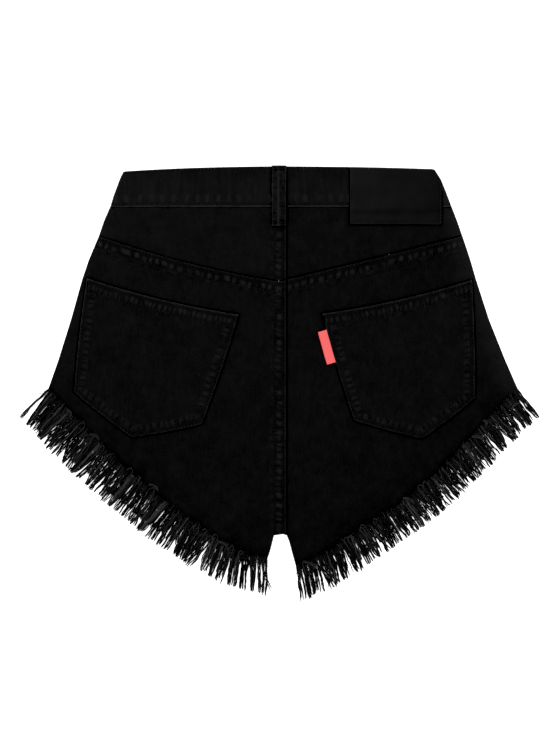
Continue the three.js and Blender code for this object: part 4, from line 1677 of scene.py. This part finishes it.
def strands(name, splines, node=None):
    """Yarns as one piece: poly curves with a four-sided section, turned into a mesh."""
    curve = bpy.data.curves.new(name, "CURVE")
    curve.dimensions = "3D"
    curve.bevel_depth = YARN / 2 * MM
    curve.bevel_resolution = 0
    curve.use_fill_caps = True
    for material in YARNS:
        curve.materials.append(material)
    for points, tone in splines:
        spline = curve.splines.new("POLY")
        spline.points.add(len(points) - 1)
        spline.material_index = tone
        spline.use_smooth = True
        for target, (x, y, z, radius) in zip(spline.points, points):
            target.co = (x * MM, y * MM, z * MM, 1)
            target.radius = radius
    source = bpy.data.objects.new(name + "_curve", curve)
    bpy.context.collection.objects.link(source)
    shaped = source.evaluated_get(bpy.context.evaluated_depsgraph_get())
    mesh = bpy.data.meshes.new_from_object(shaped)
    mesh.name = name
    bpy.data.objects.remove(source)
    piece = bpy.data.objects.new(name, mesh)
    bpy.context.collection.objects.link(piece)
    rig.ride(piece, "root")
    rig.slot(piece, "denim_yarn")
    if node:
        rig.replaces(piece, node)
    return piece


def yarn_tone(dice, shares):
    return dice.choices((0, 1, 2), shares)[0]


def combed(side):
    """How the warp threads left by unravelling a hem cling together when washed, the same
    in both layers: strands of a few yarns, locks of strands, and clumps of locks."""
    dice = random.Random(60 + SIGN[side])
    found, place = [], 0.0
    while place < HEM_TRACKS[side].length:
        turn, long, bend = dice.gauss(0, 1.2), dice.uniform(0.98, 1.02), dice.gauss(0, 0.035)
        for _ in range(dice.randint(2, 3)):
            widths = [dice.uniform(0.9, 1.5) for _ in range(dice.randint(2, 4))]
            lock = {
                "middle": place + sum(widths) / 2,
                "turn": turn + dice.gauss(0, 1.7),
                "long": long * dice.uniform(0.96, 1.01),
                "bend": bend + dice.gauss(0, 0.02),
                "narrow": dice.uniform(0.9, 1),
                "wave": (dice.uniform(0.2, 0.6), dice.uniform(1, 2), dice.random()),
                "lift": dice.uniform(0, 0.5),
            }
            for width in widths:
                strand = {
                    "middle": place + width / 2,
                    "width": width,
                    "long": 1 - 0.09 * dice.random() ** 3,
                    "cling": dice.uniform(0.45, 1),
                    "stray": dice.gauss(0, 5) if dice.random() < 0.04 else dice.gauss(0, 0.4),
                    "curl": (dice.uniform(0.12, 0.38), dice.random()),
                    "tone": yarn_tone(dice, FRINGE_TONES),
                    "lock": lock,
                }
                found.append(strand)
                place += width
    return found


def fringe(layer, side, dice):
    """The yarns along one hem of the back or the front, whose ends lie on the floor."""
    is_back = layer == "back"
    hem = {
        "line": HEM_TRACKS[side] if is_back else front_hem(side),
        "under": back_under if is_back else front_under,
        "reach": HEM_TRACKS[side].length,
        "sign": SIGN[side],
        "tip": 0.9 if is_back else YARN_REST,
        "spacing": FRINGES[layer]["spacing"],
        **FRINGES[layer][side],
    }
    splines = []
    for strand in combed(side):
        splines += yarns_of(strand, hem, dice)
    return strands(f"fringe_{layer}_yarn_{side}", splines, f"fringe_{layer}_{side}")


def yarns_of(strand, hem, dice):
    """The yarns of one strand, from just inside the hem to their ends."""
    lock, curly = strand["lock"], strand["curl"]
    wave, waves, phase = lock["wave"]
    t = clamp(lock["middle"] / hem["reach"], 0.002, 0.998)
    tilt = math.radians(between(hem["tilts"], t) + lock["turn"])
    ahead = Vector((hem["sign"] * math.sin(tilt), -math.cos(tilt)))
    beside = Vector((-ahead.y, ahead.x)) * hem["sign"]
    long = between(hem["lengths"], t) * lock["long"] * strand["long"]
    count = max(2, math.ceil(strand["width"] / hem["spacing"]))
    rows = []
    for n in range(count):
        own = ((n + dice.uniform(0.3, 0.7)) / count - 0.5) * strand["width"]
        x, y = hem["line"](clamp((strand["middle"] + own) / hem["reach"], 0.001, 0.999))
        start_z = hem["under"](x, y) + dice.uniform(0.4, 1.05)
        end_z = hem["tip"] + lock["lift"] + dice.uniform(-0.1, 0.5)
        reach = long - dice.uniform(0, 1.2)
        points = []
        for k in range(11):
            q = k / 10
            aside = own * (strand["cling"] - 1) * smooth(q, 0.08, 0.35)
            aside += (strand["middle"] - lock["middle"]) * (lock["narrow"] - 1) * smooth(q, 0, 0.5)
            aside += (lock["bend"] * long + strand["stray"]) * q**2
            aside += wave * math.sin(math.tau * (waves * q + phase)) * smooth(q, 0, 0.4)
            aside += curly[0] * math.sin(math.tau * (3 * q + curly[1])) * smooth(q, 0, 0.3)
            spot = Vector((x, y)) + ahead * ((reach + YARN_ROOT) * q - YARN_ROOT) + beside * aside
            z = lerp(start_z, end_z, smooth(q, 0, 0.8))
            z += 0.2 * math.sin(math.tau * (2.3 * q + curly[1]))
            points.append((spot.x, spot.y, max(YARN_REST, z), 1 if k < 10 else 0.5))
        rows.append((points, strand["tone"]))
    return rows


def frayed_edge(side, dice):
    """What the washing pulled loose along the raw edge: broken cross threads that lie along
    it, short yarns and curls over the cloth, and a few light bunches of yarn."""
    splines = []
    for row in range(8):
        t = dice.uniform(0, 0.03)
        while t < 0.97:
            run = dice.uniform(0.02, 0.1)
            splines.append(cross_thread(side, t, run, 0.3 + 0.95 * row, dice))
            t += run + dice.uniform(0, 0.012 * (row + 1))
    splines += [short_yarn(side, dice) for _ in range(170)]
    for _ in range(9):
        splines += curl(side, dice)
    for start, end in TUFTS[side]:
        splines += tuft(Vector(start), Vector(end), dice)
    return strands("frayed_edge_yarn_" + side, splines)


def yarn_way(side, t):
    """The way that the yarns of the fringe point at a place along the hem."""
    tilt = math.radians(between(FRINGES["back"][side]["tilts"], t))
    return Vector((SIGN[side] * math.sin(tilt), -math.cos(tilt)))


def cross_thread(side, t, run, beyond, dice):
    """A wavy thread along the edge, that far beyond it."""
    phase, drift = dice.random(), dice.uniform(-0.8, 1.2)
    count = max(4, round(run * HEM_TRACKS[side].length / 1.7))
    points = []
    for k in range(count + 1):
        at = min(0.995, t + run * k / count)
        x, y = HEM_TRACKS[side](at)
        off = beyond + 0.45 * math.sin(math.tau * (k / 2.9 + phase)) + drift * (k / count) ** 2
        spot = Vector((x, y)) + yarn_way(side, at) * off
        z = back_under(x, y) + 0.8 - 0.07 * beyond + 0.35 * math.sin(k * 2.2 + 9 * phase)
        points.append((spot.x, spot.y, z, 0.85))
    return points, yarn_tone(dice, LOOSE_TONES)


def short_yarn(side, dice):
    """A yarn that the raw edge let go of further in, and that lies over the edge."""
    t = dice.uniform(0.01, 0.99)
    x, y = HEM_TRACKS[side](t)
    ahead = yarn_way(side, t)
    beside = Vector((ahead.y, -ahead.x))
    start, run = dice.uniform(-3.4, -0.5), dice.uniform(5, 15)
    lean, bow, phase = dice.gauss(0, 0.3), dice.gauss(0, 1.2), dice.random()
    points = []
    for k in range(7):
        q = k / 6
        off = start + run * q
        aside = lean * run * q + bow * math.sin(math.pi * q)
        aside += 0.3 * math.sin(math.tau * (q + phase))
        spot = Vector((x, y)) + ahead * off + beside * aside
        z = back_under(x, y) + CLOTH + 0.4 - 0.9 * smooth(off, 0, 7)
        points.append((spot.x, spot.y, z, 0.85 if 0 < k < 6 else 0.4))
    return points, yarn_tone(dice, LOOSE_TONES)


def curl(side, dice):
    """A bundle of yarn that leaves the edge upwards and hooks round into the fringe."""
    hem = HEM_TRACKS[side]
    t = dice.uniform(0.03, 0.97)
    size, turn = dice.uniform(2.5, 6), dice.choice((-1, 1))
    ahead = yarn_way(side, t)
    beside = Vector((ahead.y, -ahead.x)) * turn
    rows = []
    for n in range(dice.randint(3, 5)):
        x, y = hem(clamp(t + n * 0.0022, 0.01, 0.99))
        middle = Vector((x, y)) + beside * size * 0.5 + ahead * 1.5
        tail, wide = dice.uniform(6, 15), size * 0.5 + 0.3 * n
        points = []
        for k in range(13):
            q = k / 12
            angle, run = math.pi * max(0, 1 - 2 * q), max(0, 2 * q - 1)
            spot = middle + beside * wide * math.cos(angle) * (1 - 0.6 * run)
            spot += ahead * (tail * run - (size * 0.8 + 0.4 * n) * math.sin(angle))
            lift = 0.5 * math.sin(math.pi * min(1, 2 * q))
            z = lerp(back_under(x, y) + CLOTH + 0.5 + lift, 1.8, smooth(q, 0.5, 1))
            points.append((spot.x, spot.y, z, 1 if k < 12 else 0.4))
        rows.append((points, (1, 2, 1, 0)[n % 4]))
    return rows


def tuft(start, end, dice):
    """Light yarns side by side that fan out a little towards their end."""
    run = end - start
    across = Vector((-run.y, run.x)).normalized()
    rows = []
    for n in range(6):
        side_step, bend = (n - 2.5) * 0.42, dice.uniform(0.8, 1.4)
        points = []
        for k in range(9):
            q = k / 8
            spot = start + run * q * (1 - 0.04 * n)
            spot += across * (side_step * (0.7 + 0.8 * q) + bend * math.sin(math.pi * q))
            z = back_under(*start) + 1.5 + 0.5 * math.sin(math.pi * q) - 0.7 * q
            points.append((spot.x, spot.y, z, 0.4 if k in (0, 8) else 0.85))
        rows.append((points, 1 + n % 2))
    return rows


# The shorts

SEWN = stitches()
for number, side in enumerate(SIGN):
    back_yarn = fringe("back", side, random.Random(70 + number))
    front_yarn = fringe("front", side, random.Random(72 + number))
    frayed = frayed_edge(side, random.Random(90 + number))
    seams = [SEWN["yoke_seam_stitches_" + side]]
    seams += [SEWN["centre_seam_stitches"]] if side == "left" else []
    back_panel(side, [back_yarn, frayed, *seams])
    yoke(side)
    pocket(side, [SEWN["pocket_stitches_" + side]])
    front_panel(side, [front_yarn])
    pocket_facing(side)
    spec = {**FRONT_LOOP, "x": SIGN[side] * FRONT_LOOP["x"]}
    tape, node = "belt_loop_front_tape_" + side, "belt_loop_front_" + side
    loop_piece(tape, node, spec, on_the_floor, -1, [])
waistband([SEWN["waistband_stitches"]])
loop_piece(
    "belt_loop_back_tape",
    "belt_loop_back",
    BACK_LOOP,
    back_loop_under,
    1,
    ["waistband_cloth"],
    [SEWN["belt_loop_stitches"]],
)
label_patch(patch_leather(), [SEWN["patch_stitches"]])
ribbon_tab(ribbon_weave())
button(plated_brass())

# Floor, light and camera

FRAME_PIXELS = (560, 746)
PIXEL = 0.95
VIEW_CENTRE = (1.4, 6.65)
LENS, SENSOR = 85, 36
FLOOR_SIZE = 9000
SKY = 0.5
BLACK_POINT, WHITE_POINT = 0.0155, 0.8


def floor():
    bm = bmesh.new()
    bmesh.ops.create_grid(bm, x_segments=1, y_segments=1, size=FLOOR_SIZE)
    bmesh.ops.scale(bm, vec=(MM, MM, MM), verts=bm.verts)
    mesh = bpy.data.meshes.new("floor")
    bm.to_mesh(mesh)
    bm.free()
    mesh.materials.append(plain_floor())
    piece = bpy.data.objects.new("floor", mesh)
    bpy.context.collection.objects.link(piece)
    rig.stage(piece)


def softbox(name, place, size, power):
    light = bpy.data.lights.new(name, "AREA")
    light.shape = "SQUARE"
    light.size = size
    light.energy = power
    lamp = bpy.data.objects.new(name, light)
    lamp.location = place
    lamp.rotation_euler = (-Vector(place)).to_track_quat("-Z", "Y").to_euler()
    bpy.context.collection.objects.link(lamp)


def camera():
    height = FRAME_PIXELS[1] * PIXEL * MM
    distance = LENS / SENSOR * height
    data = bpy.data.cameras.new("camera")
    data.lens = LENS
    data.sensor_width = SENSOR
    data.clip_start = 0.05
    seen_from = bpy.data.objects.new("camera", data)
    seen_from.location = (VIEW_CENTRE[0] * MM, VIEW_CENTRE[1] * MM, distance)
    bpy.context.collection.objects.link(seen_from)
    bpy.context.scene.camera = seen_from


floor()
softbox("overhead", (-0.5, 0.9, 2.3), 1.8, 42)
softbox("fill", (1.4, -1.2, 2.2), 1.6, 14)
world = bpy.data.worlds.new("studio")
world.use_nodes = True
sky = world.node_tree.nodes["Background"].inputs
sky["Color"].default_value = (1, 1, 1, 1)
sky["Strength"].default_value = SKY
bpy.context.scene.world = world
camera()
view = bpy.context.scene.view_settings
view.view_transform = "Standard"
view.use_curve_mapping = True
view.curve_mapping.black_level = (BLACK_POINT,) * 3
view.curve_mapping.white_level = (WHITE_POINT,) * 3
view.curve_mapping.update()

with open("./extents.json", "w") as out:
    json.dump({"cad": [list(p) for p in cad_box], "visual": [list(p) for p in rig.bounds()]}, out)
